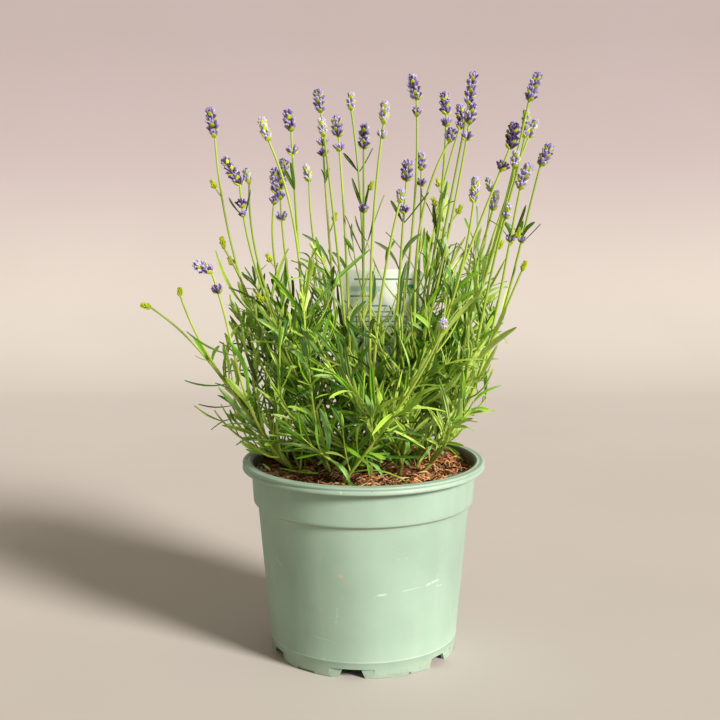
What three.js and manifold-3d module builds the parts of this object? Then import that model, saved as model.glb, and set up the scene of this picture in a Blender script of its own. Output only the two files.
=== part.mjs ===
// A flowering lavender in a 19 cm nursery pot.
// Millimetres, +Z up, front along -Y, origin at the centre of the pot's base on the table.
import * as THREE from "three";
import { mergeVertices } from "three/addons/utils/BufferGeometryUtils.js";
import Module from "manifold-3d";

const wasm = await Module();
wasm.setup();

// Pot
const potHeight = 152;
const rimRadius = 94.8;
const rimDrop = 6.1;
const collarRadius = 87.9;
const collarFootRadius = 86.4;
const collarFootZ = 121;
const bodyTopRadius = 83.1;
const bodyTopZ = 118;
const footLineRadius = 74;
const footLineZ = 13;
const footRadius = 72.7;
const wall = 1.5;
const plateZ = 8;
const plateThick = 1.6;
const centreFootRadius = 40;
const skirtRadius = 69;
const potSides = 36;

// Drain notches round the foot, with shallow ones midway between them
const notchCount = 6;
const notchTurn = -97;
const recessWidth = 34;
const recessHeight = 7.6;
const recessRadius = 71;
const drainTopWidth = 14;
const drainFootWidth = 22;
const slotWidth = 18;
const slotInnerRadius = 58;
const shallowWidth = 16;
const shallowHeight = 2;
const shallowTurn = 30;

// Compost
const soilZ = 140;
const soilRelief = 2.2;
const soilGap = 0.6;
const soilSides = 24;
const rootDepth = 14;
const rootHoleSide = 3.3;

// Plant label
const cardWidth = 69;
const cardHeight = 74;
const cardThick = 0.9;
const cardCorner = 7;
const cardTop = [16, 74, 295];
const cardLean = 6;
const cardFootWidth = 12;
const cardFootDepth = 22;

// Plant
const seed = 1907;
const stalkSide = 2.1;
const shootSide = 1.7;
const stalkSteps = 6;
const shootSteps = 3;
const bladeWidth = 4.4;
const bladeThick = 1;
const clearance = 0.35;
const shootsPerBranch = 3;
const rootSpread = 0.28;
const rootLimit = 34;
const forkShare = 0.24;
const bareShare = 0.42;
const bladeShare = 0.2;

// The bend of a stalk: its outward and upward pull at the root, how straight it leaves a fork and
// meets its head, and the reach of each pull as a share of the way it covers. A branch can have a lean
// of its own, and slopes: how far each of its stalks leans to +X per mm of height where it meets its head.
const rootLean = 0.33;
const rootLift = 0.3;
const forkPull = 0.5;
const forkReach = 0.3;
const headPull = 0.45;
const headReach = 0.36;

// Side shoots. A pair of numbers is the least value and what a draw can add to it.
const shootStart = [20, 56];
const shootTurn = [0.5, 1.1];
const lowShootRise = [14, 26];
const highShootRise = [38, 34];
const shootLength = [50, 50];
const shootPull = 0.4;
const shootReaches = [0.35, 0.68, 0.92];
const shootLift = 0.22;

// Leaves: their angle from the stem in degrees, their length, and how far apart the pairs stand
const leafSpread = 40;
const leafSpreadLoss = 16;
const leafSpreadPlay = 14;
const leafSize = [0.8, 0.35];
const leafLift = 0.12;
const leafBend = 0.22;
const leafBendMiddle = 0.45;
const leafTurnPlay = 0.5;
const stalkLeafLength = [30, 20];
const stalkLeafCrest = 1.6;
const shootLeafLength = [42, -18];
const stalkPairStep = [13, 18];
const shootPairStep = 9.5;
const firstPairAt = [20, 10];
const topLeafLength = 22;
const topLeafSpread = 12;
const bladeSections = [[0.13, 0.3], [1, 1]];
const bladeMiddle = 0.45;

// Flower heads
const fullGirth = 10.6;
const paleGirth = 8.6;
const lowWhorlShare = 0.44;
const headTaper = 0.06;
const lastWhorlShare = 0.72;
const waistShare = 0.62;
const cupShare = 0.66;
const budGirth = 4.4;
const budRings = [[0, 0.45], [0.4, 1], [0.8, 0.6]];
const budSink = 1;
const rachisRadius = 1.1;
const whorlPitch = 4.7;
const whorlRoot = 3;
const deepestWhorl = 26;

// How far leaves and shoots stay from the label, the compost and the pot's rim
const labelRoom = 1;
const soilRoom = 4;
const rimRoom = 1;

// One stalk: where its flower head starts and ends, the whorls that sit apart below the head and
// the leaf pairs on its bare top, both as distances down from the head's start.
const stalk = (form, x, y, z, tipX, tipZ, whorls = [], pairs = []) => ({
  form,
  base: new THREE.Vector3(x, y, z),
  tip: new THREE.Vector3(tipX, y * 1.03, tipZ),
  whorls,
  pairs,
});

const branches = [
  { stalks: [stalk("bud", -165, 0, 271, -172, 273), stalk("bud", -140, -10, 281, -140, 287)], lean: 0.45 },
  { stalks: [stalk("full", -112, -40, 301, -125, 308, [16])], lean: 0.85, slopes: [-0.35] },
  { stalks: [stalk("full", -117, 35, 402, -121, 425), stalk("bud", -110, 25, 315, -112, 324)],
    lean: 0.45, slopes: [-0.05, -0.6] },
  { stalks: [stalk("full", -93, -12, 365, -105, 385, [17], [25]), stalk("pale", -88, 10, 366, -91, 377)],
    lean: 0.1, slopes: [-0.05, 0.05] },
  { stalks: [stalk("pale", -68, -52, 396, -73, 412), stalk("full", -53, -30, 404, -56, 419, [17], [44])],
    lean: 0.85, slopes: [-0.45, -0.05] },
  { stalks: [stalk("full", -64, 5, 362, -60, 385, [8, 24]), stalk("full", -69, 28, 359, -70, 378, [9])],
    lean: 0.5, slopes: [null, 0.2] },
  { stalks: [stalk("full", -34, 50, 422, -37, 440, [26, 35], [57]), stalk("pale", -45, 78, 368, -48, 381)],
    slopes: [-0.05, 0] },
  { stalks: [stalk("full", -19, -6, 401, -21, 416, [11]), stalk("pale", -29, -30, 400, -31, 413)] },
  { stalks: [stalk("pale", -10, 55, 424, -10, 438, [], [50]),
    stalk("full", 0, 22, 393, 1, 412, [50], [49])], lean: 0.1, slopes: [-0.15, 0] },
  { stalks: [stalk("pale", 14, -70, 407, 15, 422, [10]), stalk("pale", 25, -88, 353, 26, 362)],
    lean: 0.2, slopes: [0.15, 0.25] },
  { stalks: [stalk("full", 39, -20, 427, 35, 445, [12]), stalk("full", 31, -42, 368, 32, 383, [24], [32])] },
  { stalks: [stalk("full", 80, 72, 415, 78, 430, [5], [85]), stalk("full", 48, 85, 377, 48, 392, [13])],
    lean: 0.55, slopes: [0.35, 0] },
  { stalks: [stalk("full", 83, 35, 432, 86, 452, [5]), stalk("full", 64, 22, 419, 62, 436, [9])] },
  { stalks: [stalk("full", 79, -8, 410, 82, 425, [12]), stalk("full", 63, -30, 396, 65, 406)],
    lean: 0.3, slopes: [0.15, 0.6] },
  { stalks: [stalk("full", 103, -64, 390, 106, 408, [16]), stalk("pale", 76, -86, 353, 77, 370)],
    lean: 0.15, slopes: [0.4, 0.1] },
  { stalks: [stalk("pale", 105, 70, 360, 102, 371), stalk("pale", 104, 50, 345, 107, 360)],
    root: [24, 27] },
  { stalks: [stalk("full", 123, -12, 427, 130, 447), stalk("pale", 111, -28, 377, 112, 390)],
    lean: 0.45, slopes: [0.2] },
  { stalks: [stalk("pale", 128, 45, 402, 129, 424), stalk("pale", 133, 58, 403, 139, 417)] },
  { stalks: [stalk("full", 115, -40, 367, 121, 380, [5], [45]), stalk("pale", 102, -52, 341, 105, 351)],
    lean: 0.8, slopes: [0.2] },
  { stalks: [stalk("full", 137, 18, 380, 145, 396, [], [62]), stalk("bud", 123, 8, 299, 126, 306)],
    lean: 0.7, slopes: [0.25] },
  { stalks: [stalk("pale", 54, -105, 266, 55, 274)], root: [-26, -40], lean: 0.3 },
];

const sage = new THREE.MeshStandardMaterial({ color: 0xa9c3a0, roughness: 0.5, metalness: 0 });
const coir = new THREE.MeshStandardMaterial({ color: 0x6f4630, roughness: 0.95, metalness: 0 });
const card = new THREE.MeshStandardMaterial({ color: 0xe9f3ee, roughness: 0.4, metalness: 0 });
const leafGreen = new THREE.MeshStandardMaterial({ color: 0x6f9a3c, roughness: 0.6, metalness: 0 });
const violet = new THREE.MeshStandardMaterial({ color: 0x7a62ab, roughness: 0.8, metalness: 0 });
const paleViolet = new THREE.MeshStandardMaterial({ color: 0xb0b07a, roughness: 0.8, metalness: 0 });

const plant = new THREE.Group();

// A seeded draw from 0 to 1 for any list of whole numbers
function draw(...keys) {
  let mix = seed;
  for (const key of keys) {
    mix = Math.imul(mix ^ (key + 1), 0x9e3779b1) >>> 0;
    mix = (mix ^ (mix >>> 15)) >>> 0;
  }
  return mix / 4294967296;
}

const radians = THREE.MathUtils.degToRad;
const up = new THREE.Vector3(0, 0, 1);
const right = new THREE.Vector3(1, 0, 0);
const ahead = new THREE.Vector3(0, 1, 0);
const sum = (...vectors) => vectors.reduce((total, v) => total.add(v), new THREE.Vector3());
const times = (v, k) => v.clone().multiplyScalar(k);
const ranged = ([least, added], share) => least + added * share;
const less = (a, b) => a.clone().sub(b);
const cross = (a, b) => new THREE.Vector3().crossVectors(a, b);

// A closed three.js geometry as a solid, with its faces turned out
function solid(geometry) {
  geometry.deleteAttribute("normal");
  geometry.deleteAttribute("uv");
  const merged = mergeVertices(geometry, 1e-4);
  const points = merged.attributes.position.array;
  const corners = Uint32Array.from(merged.index.array);
  let volume = 0;
  const [a, b, c] = [new THREE.Vector3(), new THREE.Vector3(), new THREE.Vector3()];
  for (let i = 0; i < corners.length; i += 3) {
    a.fromArray(points, corners[i] * 3);
    b.fromArray(points, corners[i + 1] * 3);
    c.fromArray(points, corners[i + 2] * 3);
    volume += a.dot(b.cross(c));
  }
  if (volume < 0) corners.reverse();
  return new wasm.Manifold(
    new wasm.Mesh({ numProp: 3, vertProperties: Float32Array.from(points), triVerts: corners }),
  );
}

function add(name, body, material) {
  const cut = body.getMesh();
  const geometry = new THREE.BufferGeometry();
  geometry.setAttribute("position", new THREE.BufferAttribute(cut.vertProperties, cut.numProp));
  geometry.setIndex(new THREE.BufferAttribute(cut.triVerts, 1));
  geometry.computeVertexNormals();
  const mesh = new THREE.Mesh(geometry, material);
  mesh.name = name;
  plant.add(mesh);
}

// A skin over rings of points, closed by a flat start and by a tip
function loft(rings, tip) {
  const count = rings[0].length;
  const points = [...rings.flat(), tip].flatMap((p) => [p.x, p.y, p.z]);
  const last = rings.length * count;
  const faces = [];
  for (let i = 1; i < count - 1; i++) faces.push(0, i + 1, i);
  for (let ring = 0; ring < rings.length; ring++) {
    for (let i = 0; i < count; i++) {
      const here = ring * count + i;
      const next = ring * count + ((i + 1) % count);
      if (ring === rings.length - 1) faces.push(here, next, last);
      else faces.push(here, next, next + count, here, next + count, here + count);
    }
  }
  const geometry = new THREE.BufferGeometry();
  geometry.setAttribute("position", new THREE.Float32BufferAttribute(points, 3));
  geometry.setIndex(faces);
  return geometry;
}

function turned(profile, sides) {
  const points = profile.map(([radius, z]) => new THREE.Vector2(radius, z));
  return new THREE.LatheGeometry(points, sides).rotateX(Math.PI / 2);
}

// Moves a shape drawn at the front, facing -Y, round the pot
const roundPot = (geometry, degrees) => geometry.rotateZ(radians(degrees + 90));

function makePot() {
  const lipZ = potHeight - rimDrop;
  let pot = solid(turned([
    [0, 0],
    [centreFootRadius, 0],
    [centreFootRadius + 5, plateZ],
    [skirtRadius, plateZ],
    [skirtRadius, 0],
    [footRadius, 0],
    [footLineRadius, footLineZ],
    [bodyTopRadius, bodyTopZ],
    [collarFootRadius, collarFootZ],
    [collarRadius, lipZ],
    [collarRadius + 0.3, potHeight - wall],
    [rimRadius - wall, potHeight - wall],
    [rimRadius - wall, lipZ],
    [rimRadius - 0.1, lipZ],
    [rimRadius - 0.6, lipZ + 3.1],
    [rimRadius, potHeight - 1.4],
    [rimRadius - 0.9, potHeight],
    [collarRadius + 0.7, potHeight],
    [collarRadius - wall + 0.5, potHeight - 1.2],
    [collarFootRadius - wall, collarFootZ + 0.8],
    [bodyTopRadius - wall, bodyTopZ + 0.8],
    [footLineRadius - wall - 0.6, plateZ + plateThick],
    [centreFootRadius + 5.6, plateZ + plateThick],
    [centreFootRadius + 1, plateThick],
    [0, plateThick],
  ], potSides));
  const recess = (width, height, innerRadius) => {
    const depth = rimRadius - innerRadius;
    return new THREE.BoxGeometry(width, depth, height + 2)
      .translate(0, -innerRadius - depth / 2, height / 2 - 1);
  };
  const drainOutline = new THREE.Shape([
    new THREE.Vector2(-drainFootWidth / 2, -1),
    new THREE.Vector2(drainFootWidth / 2, -1),
    new THREE.Vector2(drainTopWidth / 2, recessHeight - 0.8),
    new THREE.Vector2(-drainTopWidth / 2, recessHeight - 0.8),
  ]);
  for (let i = 0; i < notchCount; i++) {
    const turn = notchTurn + (i * 360) / notchCount;
    const drain = new THREE.ExtrudeGeometry(drainOutline, { depth: 12, bevelEnabled: false })
      .rotateX(Math.PI / 2).translate(0, -skirtRadius + 4, 0);
    const slotLength = skirtRadius - slotInnerRadius + 1;
    const slot = new THREE.BoxGeometry(slotWidth, slotLength, plateThick * 3)
      .translate(0, -slotInnerRadius - slotLength / 2, plateZ);
    pot = pot.subtract(solid(roundPot(recess(recessWidth, recessHeight, recessRadius), turn)))
      .subtract(solid(roundPot(drain, turn)))
      .subtract(solid(roundPot(slot, turn)))
      .subtract(solid(roundPot(recess(shallowWidth, shallowHeight, recessRadius), turn + shallowTurn)));
  }
  return pot;
}

// The relief of the compost's top, from gentle waves and a seeded grain
function soilHeight(x, y) {
  const waves = Math.sin(x * 0.071 + 0.6) + Math.cos(y * 0.083 - x * 0.031) + Math.sin((x + y) * 0.12);
  const grain = draw(Math.round(x) + 200, Math.round(y) + 200, 77) - 0.5;
  return soilZ + soilRelief * (0.35 * waves + 0.9 * grain);
}

function makeCompost() {
  const edgeRadius = collarRadius - wall - soilGap - 0.4;
  const tops = [0.9, 0.72, 0.52, 0.3].map((share) => [edgeRadius * share, soilZ]);
  const geometry = turned([
    [0, plateZ + plateThick + soilGap],
    [footLineRadius - wall - soilGap - 0.7, plateZ + plateThick + soilGap],
    [bodyTopRadius - wall - soilGap, bodyTopZ + 1],
    [collarFootRadius - wall - soilGap, collarFootZ + 1.6],
    [edgeRadius, soilZ - 1.5],
    ...tops,
    [0, soilZ],
  ], soilSides);
  const spots = geometry.attributes.position;
  for (let i = 0; i < spots.count; i++) {
    if (spots.getZ(i) < soilZ - 0.1) continue;
    spots.setZ(i, soilHeight(spots.getX(i), spots.getY(i)));
  }
  return solid(geometry);
}

// A flat outline standing on its point: the card, then the strip that tapers into the compost
function makeLabel(extra) {
  const half = cardWidth / 2 + extra;
  const foot = cardFootWidth / 2 + extra;
  const bottom = -(cardTop[2] - soilZ) / Math.cos(radians(cardLean)) - cardFootDepth - extra;
  const outline = new THREE.Shape();
  outline.moveTo(-foot * 0.5, bottom);
  outline.lineTo(foot * 0.5, bottom);
  outline.lineTo(foot, -cardHeight - 12);
  outline.lineTo(half, -cardHeight);
  outline.lineTo(half, -cardCorner);
  outline.absarc(half - cardCorner, -cardCorner, cardCorner, 0, Math.PI / 2);
  outline.lineTo(-half + cardCorner, 0);
  outline.absarc(-half + cardCorner, -cardCorner, cardCorner, Math.PI / 2, Math.PI);
  outline.lineTo(-half, -cardHeight);
  outline.lineTo(-foot, -cardHeight - 12);
  const thick = cardThick + extra * 2;
  return solid(
    new THREE.ExtrudeGeometry(outline, { depth: thick, bevelEnabled: false, curveSegments: 4 })
      .translate(0, 0, -thick / 2)
      .rotateX(Math.PI / 2 - radians(cardLean))
      .translate(...cardTop),
  );
}

// How far a point is from the label's mid plane, or far away where it is beside the label
function labelDistance(p) {
  const drop = cardTop[2] - p.z;
  const half = drop < cardHeight + 14 ? cardWidth / 2 : cardFootWidth / 2;
  if (drop < -4 || Math.abs(p.x - cardTop[0]) > half + 4) return Infinity;
  return Math.abs(p.y - cardTop[1] + drop * Math.tan(radians(cardLean)));
}

// The smooth way of a stalk from its root, or from its fork on the branch's first stalk
function stalkCurve(branch, rank, first) {
  const { base, tip } = branch.stalks[rank];
  let start;
  let lift;
  if (rank === 0) {
    const middle = times(sum(...branch.stalks.map((one) => one.base)), rootSpread / branch.stalks.length);
    middle.z = 0;
    start = branch.root ? new THREE.Vector3(...branch.root, 0) : middle.clampLength(0, rootLimit);
    start.z = soilZ - rootDepth;
    const lean = branch.lean ?? rootLean;
    const way = less(base, start);
    lift = new THREE.Vector3(way.x * lean, way.y * lean, way.z * rootLift);
  } else {
    start = first.getPointAt(forkShare);
    const way = less(base, start);
    const pull = times(first.getTangentAt(forkShare), forkPull);
    lift = times(sum(pull, times(way.clone().normalize(), 1 - forkPull)), forkReach * way.length());
  }
  const way = less(base, start);
  const axis = less(tip, base).normalize();
  const slope = branch.slopes?.[rank] ?? null;
  const end = slope === null
    ? sum(times(axis, headPull), times(way.clone().normalize(), 1 - headPull)).normalize()
    : new THREE.Vector3(slope, 0, 1).normalize();
  const late = less(base, times(end, headReach * way.length()));
  return new THREE.CubicBezierCurve3(start, sum(start, lift), late, base);
}

// A side shoot low on a branch
function shootCurve(number, rank, first) {
  const place = (rank + draw(number, rank, 1)) / shootsPerBranch;
  const from = ranged(shootStart, place) / first.getLength();
  const start = first.getPointAt(from);
  const middle = first.getPointAt(0.5);
  const side = (rank % 2) * 2 - 1;
  const round = Math.atan2(middle.y, middle.x) + side * ranged(shootTurn, draw(number, rank, 2));
  const rise = radians(ranged(rank === 0 ? lowShootRise : highShootRise, draw(number, rank, 3)));
  const length = ranged(shootLength, draw(number, rank, 4));
  const way = new THREE.Vector3(
    Math.cos(round) * Math.cos(rise), Math.sin(round) * Math.cos(rise), Math.sin(rise));
  const early = sum(times(first.getTangentAt(from), shootPull), times(way, 1 - shootPull));
  const [near, far, end] = shootReaches.map((share) => share * length);
  return new THREE.CubicBezierCurve3(start, sum(start, times(early, near)), sum(start, times(way, far)),
    sum(start, times(way, end), times(up, length * shootLift)));
}

// The part of a curve before a share of its length
function firstPart(curve, share) {
  const t = curve.getUtoTmapping(share);
  const { v0, v1, v2, v3 } = curve;
  const [a, b, c] = [v0.clone().lerp(v1, t), v1.clone().lerp(v2, t), v2.clone().lerp(v3, t)];
  const [d, e] = [a.clone().lerp(b, t), b.clone().lerp(c, t)];
  return new THREE.CubicBezierCurve3(v0, a, d, d.clone().lerp(e, t));
}

function rod(curve, side, corners, steps) {
  const ring = [];
  for (let i = 0; i < corners; i++) {
    const turn = ((i + 0.5) / corners) * Math.PI * 2;
    ring.push(new THREE.Vector2(Math.cos(turn), Math.sin(turn)).multiplyScalar(side * 0.7));
  }
  const options = { steps, bevelEnabled: false, extrudePath: curve };
  return solid(new THREE.ExtrudeGeometry(new THREE.Shape(ring), options));
}

// The nearest point to p on a line of straight stretches
function nearestOn(points, p) {
  const spots = points.slice(1).map((end, i) =>
    new THREE.Line3(points[i], end).closestPointToPoint(p, true, new THREE.Vector3()));
  return spots.reduce((best, spot) => (spot.distanceTo(p) < best.distanceTo(p) ? spot : best));
}

// The opposite pairs of leaves along a stem: each leaf has its root, its middle line and its breadth
function leavesOf(number, rank, curve, stalkOf, rodPoints) {
  const leaves = [];
  const isStalk = Boolean(stalkOf);
  const length = curve.getLength();
  const grow = (at, pair, reach, spreadMore) => {
    const share = at / length;
    const along = curve.getTangentAt(share);
    const first = cross(along, Math.abs(along.z) < 0.9 ? up : right).normalize();
    const second = cross(along, first);
    const turn = ((pair % 2) * Math.PI) / 2 + leafTurnPlay * draw(number, rank, pair, 5)
      + 2 * Math.PI * draw(number, rank, 6);
    for (const side of [0, 1]) {
      const angle = turn + side * Math.PI;
      const out = sum(times(first, Math.cos(angle)), times(second, Math.sin(angle)));
      const play = leafSpreadPlay * (draw(number, rank, pair, side, 7) - 0.5);
      const spread = radians(leafSpread - leafSpreadLoss * share + play + spreadMore);
      const size = reach * ranged(leafSize, draw(number, rank, pair, side, 8));
      const way = sum(times(along, Math.cos(spread)), times(out, Math.sin(spread)), times(up, leafLift));
      way.normalize();
      const bend = times(out, leafBend * (draw(number, rank, pair, side, 9) - leafBendMiddle));
      const root = nearestOn(rodPoints, curve.getPointAt(share));
      const point = (u) => sum(root, times(way, size * u), times(bend, size * u * u));
      const keep = draw(number, rank, pair, side, 11) < bladeShare || spreadMore > 0;
      leaves.push({ line: [0, bladeMiddle, 1].map(point), breadth: cross(along, out), keep });
    }
  };
  let at = isStalk && rank === 0 ? firstPairAt[0] : firstPairAt[1];
  const top = isStalk ? (1 - bareShare) * length : length;
  let pair = 0;
  while (at < top) {
    const share = at / length;
    const crest = Math.sin(Math.PI * Math.min(1, share * stalkLeafCrest));
    const reach = isStalk ? ranged(stalkLeafLength, crest) : ranged(shootLeafLength, share);
    grow(at, pair, reach, 0);
    pair += 1;
    at += isStalk ? ranged(stalkPairStep, share * share) : shootPairStep;
  }
  for (const distance of stalkOf?.pairs ?? []) grow(length - distance, pair++, topLeafLength, topLeafSpread);
  return leaves;
}

// A narrow keeled blade, three-sided, from its slim root inside the stem to its point
function blade({ line, breadth }) {
  const rings = bladeSections.map(([width, thick], i) => {
    const along = less(line[i + 1], line[i]).normalize();
    const face = cross(breadth, along).normalize();
    const half = times(breadth, (width * bladeWidth) / 2);
    return [less(line[i], half), sum(line[i], half), less(line[i], times(face, thick * bladeThick))];
  });
  return solid(loft(rings, line[2]));
}

// How far below the head's start its lowest close whorl begins
function whorlReach(one) {
  const close = one.whorls.filter((distance) => distance <= deepestWhorl);
  return close.length ? Math.max(...close) + whorlRoot : 0;
}

// A flower head as one skin: three-pointed whorls of calyces, each turned half a step from the last
function makeHead(one, curve) {
  const full = one.form === "full";
  const girth = full ? fullGirth : paleGirth;
  const columns = 6;
  const low = one.whorls.filter((distance) => distance <= deepestWhorl);
  const reach = whorlReach(one);
  const length = curve.getLength();
  const start = curve.getPointAt(1 - reach / length);
  const early = reach ? [start, curve.getPointAt(1 - reach / 2 / length)] : [];
  const line = new THREE.CatmullRomCurve3([...early, one.base, one.tip]);
  const size = line.getLength();
  const headSize = size - reach;
  const across = cross(less(one.tip, one.base), ahead).normalize();
  const rings = [];
  const ring = (at, inner, outer, lift, turn) => {
    const share = Math.min(1, Math.max(0, at / size));
    const along = line.getTangentAt(share);
    const other = cross(along, across).normalize();
    const flat = cross(other, along);
    const centre = line.getPointAt(share);
    const points = [];
    for (let i = 0; i < columns; i++) {
      const angle = (i / columns) * Math.PI * 2;
      const stands = (i + turn) % 2 === 0;
      const radius = stands ? outer : inner;
      points.push(sum(centre, times(flat, Math.cos(angle) * radius), times(other, Math.sin(angle) * radius),
        times(along, stands ? lift : 0)));
    }
    rings.push(points);
  };
  ring(clearance / 2, rachisRadius, rachisRadius, 0, 0);
  const whorl = (at, turn, width) => {
    ring(at - 1.6, rachisRadius, rachisRadius * 1.3, 0, turn);
    ring(at + 1, width * 0.6, width, 1, turn);
  };
  low.sort((a, b) => b - a).forEach((distance, i) => {
    whorl(reach - distance, i, girth * lowWhorlShare);
    ring(reach - distance + 2.6, rachisRadius, rachisRadius, 0, 0);
  });
  const count = Math.max(2, Math.round(headSize / whorlPitch));
  for (let i = 0; i < count; i++) {
    const at = reach + (i / count) * (headSize - 1.5) + 1;
    const width = (girth / 2) * (i === count - 1 ? lastWhorlShare : 1 - headTaper * i);
    ring(at, i === 0 ? rachisRadius : width * 0.5, i === 0 ? rachisRadius : width * waistShare, 0, i);
    ring(at + 2, width * cupShare, width, 1, i);
  }
  return solid(loft(rings, one.tip));
}

function makeBud(one) {
  const axis = less(one.tip, one.base);
  const size = axis.length();
  axis.normalize();
  const across = cross(axis, ahead).normalize();
  const other = cross(axis, across);
  const rings = budRings.map(([place, share]) =>
    [0, 1, 2, 3, 4].map((i) => {
      const angle = (i / 5) * Math.PI * 2;
      const radius = (budGirth / 2) * share;
      const at = place ? size * place : -budSink;
      return sum(one.base, times(axis, at), times(across, Math.cos(angle) * radius),
        times(other, Math.sin(angle) * radius));
    }));
  return solid(loft(rings, one.tip));
}

// The least distance between two straight stretches
function stretchDistance(p, q, r, s) {
  const [d, e, f] = [less(q, p), less(s, r), less(p, r)];
  const [dd, ee, de] = [d.dot(d), e.dot(e), d.dot(e)];
  const [df, ef] = [d.dot(f), e.dot(f)];
  const bulk = dd * ee - de * de;
  let a = bulk > 1e-9 ? THREE.MathUtils.clamp((de * ef - df * ee) / bulk, 0, 1) : 0;
  let b = (de * a + ef) / ee;
  if (b < 0) {
    b = 0;
    a = THREE.MathUtils.clamp(-df / dd, 0, 1);
  } else if (b > 1) {
    b = 1;
    a = THREE.MathUtils.clamp((de - df) / dd, 0, 1);
  }
  return sum(p, times(d, a)).distanceTo(sum(r, times(e, b)));
}

// Everything that a later piece has to stay clear of, as straight stretches with a radius
const taken = [];
function take(owner, points, radius) {
  for (let i = 1; i < points.length; i++) taken.push({ owner, from: points[i - 1], to: points[i], radius });
}
function isClear(owner, points, radius, isOwnStem) {
  for (let i = 1; i < points.length; i++) {
    const [p, q] = [points[i - 1], points[i]];
    for (const other of taken) {
      const sameBranch = other.owner.number === owner.number;
      if (sameBranch && (i === 1 || isOwnStem(other.owner))) continue;
      const room = radius + other.radius + clearance;
      if (stretchDistance(p, q, other.from, other.to) < room) return false;
    }
    for (const share of [0, 0.25, 0.5, 0.75, 1]) {
      const spot = p.clone().lerp(q, share);
      if (labelDistance(spot) < radius + labelRoom) return false;
      if (i === 1 && share < 0.5) continue;
      const inside = Math.hypot(spot.x, spot.y) < collarFootRadius - soilRoom;
      const lowest = inside ? soilZ + soilRoom : potHeight + rimRoom;
      if (spot.z < lowest + radius) return false;
    }
  }
  return true;
}

// Stalks come first, then the shoots and leaves that clear them
const stalkRadius = stalkSide * 0.7;
const shootRadius = shootSide * 0.7;
const limbs = branches.map((branch, i) => {
  const number = i + 1;
  const first = stalkCurve(branch, 0);
  const stems = branch.stalks.map((one, rank) =>
    ({ rank, one, curve: rank ? stalkCurve(branch, rank, first) : first }));
  for (const { rank, one, curve } of stems) {
    take({ number, rank }, curve.getSpacedPoints(8), stalkRadius);
    take({ number, rank }, [one.base, one.tip], fullGirth / 2 + 0.4);
  }
  return { number, first, stems };
});
for (const { number, first, stems } of limbs) {
  const stalkCount = stems.length;
  for (let i = 0; i < shootsPerBranch; i++) {
    const rank = stalkCount + i;
    const curve = shootCurve(number, i, first);
    const points = curve.getSpacedPoints(4);
    if (!isClear({ number, rank }, points, shootRadius, () => true)) continue;
    take({ number, rank }, points, shootRadius);
    stems.push({ rank, curve });
  }
}

const pot = makePot();
let compost = makeCompost();
add("pot", pot, sage);

for (const { number, first, stems } of limbs) {
  const tag = String(number).padStart(2, "0");
  const pieces = [];
  for (const { rank, one, curve } of stems) {
    const headGap = one && one.form !== "bud" ? whorlReach(one) + clearance / 2 : 0;
    const shown = firstPart(curve, 1 - headGap / curve.getLength());
    const steps = one ? stalkSteps : shootSteps;
    pieces.push(rod(shown, one ? stalkSide : shootSide, one ? 4 : 3, steps));
    if (one?.form === "bud") {
      pieces.push(makeBud(one));
    } else if (one) {
      const bloom = one.form === "full" ? violet : paleViolet;
      add(`spike_${tag}${"ab"[rank]}`, makeHead(one, curve), bloom);
    }
    const isOwnStem = (owner) => owner.rank === rank && !owner.leaf;
    for (const leaf of leavesOf(number, rank, curve, one, shown.getSpacedPoints(steps))) {
      if (!leaf.keep || !isClear({ number, rank }, leaf.line, bladeWidth / 2, isOwnStem)) continue;
      take({ number, rank, leaf }, leaf.line, bladeWidth / 2);
      pieces.push(blade(leaf));
    }
  }
  add(`branch_${tag}`, pieces.reduce((body, piece) => body.add(piece)), leafGreen);
  const foot = first.getPointAt(0);
  const way = less(first.getPointAt(1 / stalkSteps), foot).normalize();
  const hole = new THREE.LineCurve3(less(foot, times(way, 0.8)), sum(foot, times(way, rootDepth * 2.2)));
  compost = compost.subtract(rod(hole, rootHoleSide, 6, 1));
}

add("compost", compost.subtract(makeLabel(clearance)), coir);
add("label", makeLabel(0), card);

export default plant;
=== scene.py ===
# A flowering lavender in its nursery pot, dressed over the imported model.
import math

import bpy
import numpy as np
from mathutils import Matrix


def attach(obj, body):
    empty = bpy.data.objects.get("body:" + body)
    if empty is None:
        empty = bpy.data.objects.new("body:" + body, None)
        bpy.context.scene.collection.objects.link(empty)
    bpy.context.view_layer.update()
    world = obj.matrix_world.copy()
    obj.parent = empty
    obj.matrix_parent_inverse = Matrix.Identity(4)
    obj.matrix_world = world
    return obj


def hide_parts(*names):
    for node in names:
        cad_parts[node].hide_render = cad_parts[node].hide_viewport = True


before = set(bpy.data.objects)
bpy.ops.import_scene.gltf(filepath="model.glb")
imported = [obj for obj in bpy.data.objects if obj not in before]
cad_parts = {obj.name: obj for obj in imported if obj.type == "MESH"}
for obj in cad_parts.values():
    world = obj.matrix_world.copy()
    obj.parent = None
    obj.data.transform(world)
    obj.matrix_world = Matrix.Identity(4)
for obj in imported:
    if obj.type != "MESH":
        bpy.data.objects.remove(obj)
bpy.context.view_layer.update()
mm = 0.001
print("frame loaded:", len(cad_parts), "nodes")


# Small helpers

def linearColour(hexText):
    channels = [int(hexText[i:i + 2], 16) / 255 for i in (0, 2, 4)]
    return tuple(c / 12.92 if c <= 0.04045 else ((c + 0.055) / 1.055) ** 2.4 for c in channels) + (1.0,)


def deselectAll():
    if bpy.context.object and bpy.context.object.mode == "EDIT":
        bpy.ops.object.mode_set(mode="OBJECT")
    bpy.ops.object.select_all(action="DESELECT")


def selectOnly(*pieces):
    deselectAll()
    for piece in pieces:
        piece.select_set(True)
    bpy.context.view_layer.objects.active = pieces[0]


def named(name):
    piece = bpy.context.object
    piece.name = piece.data.name = name
    return piece


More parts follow.
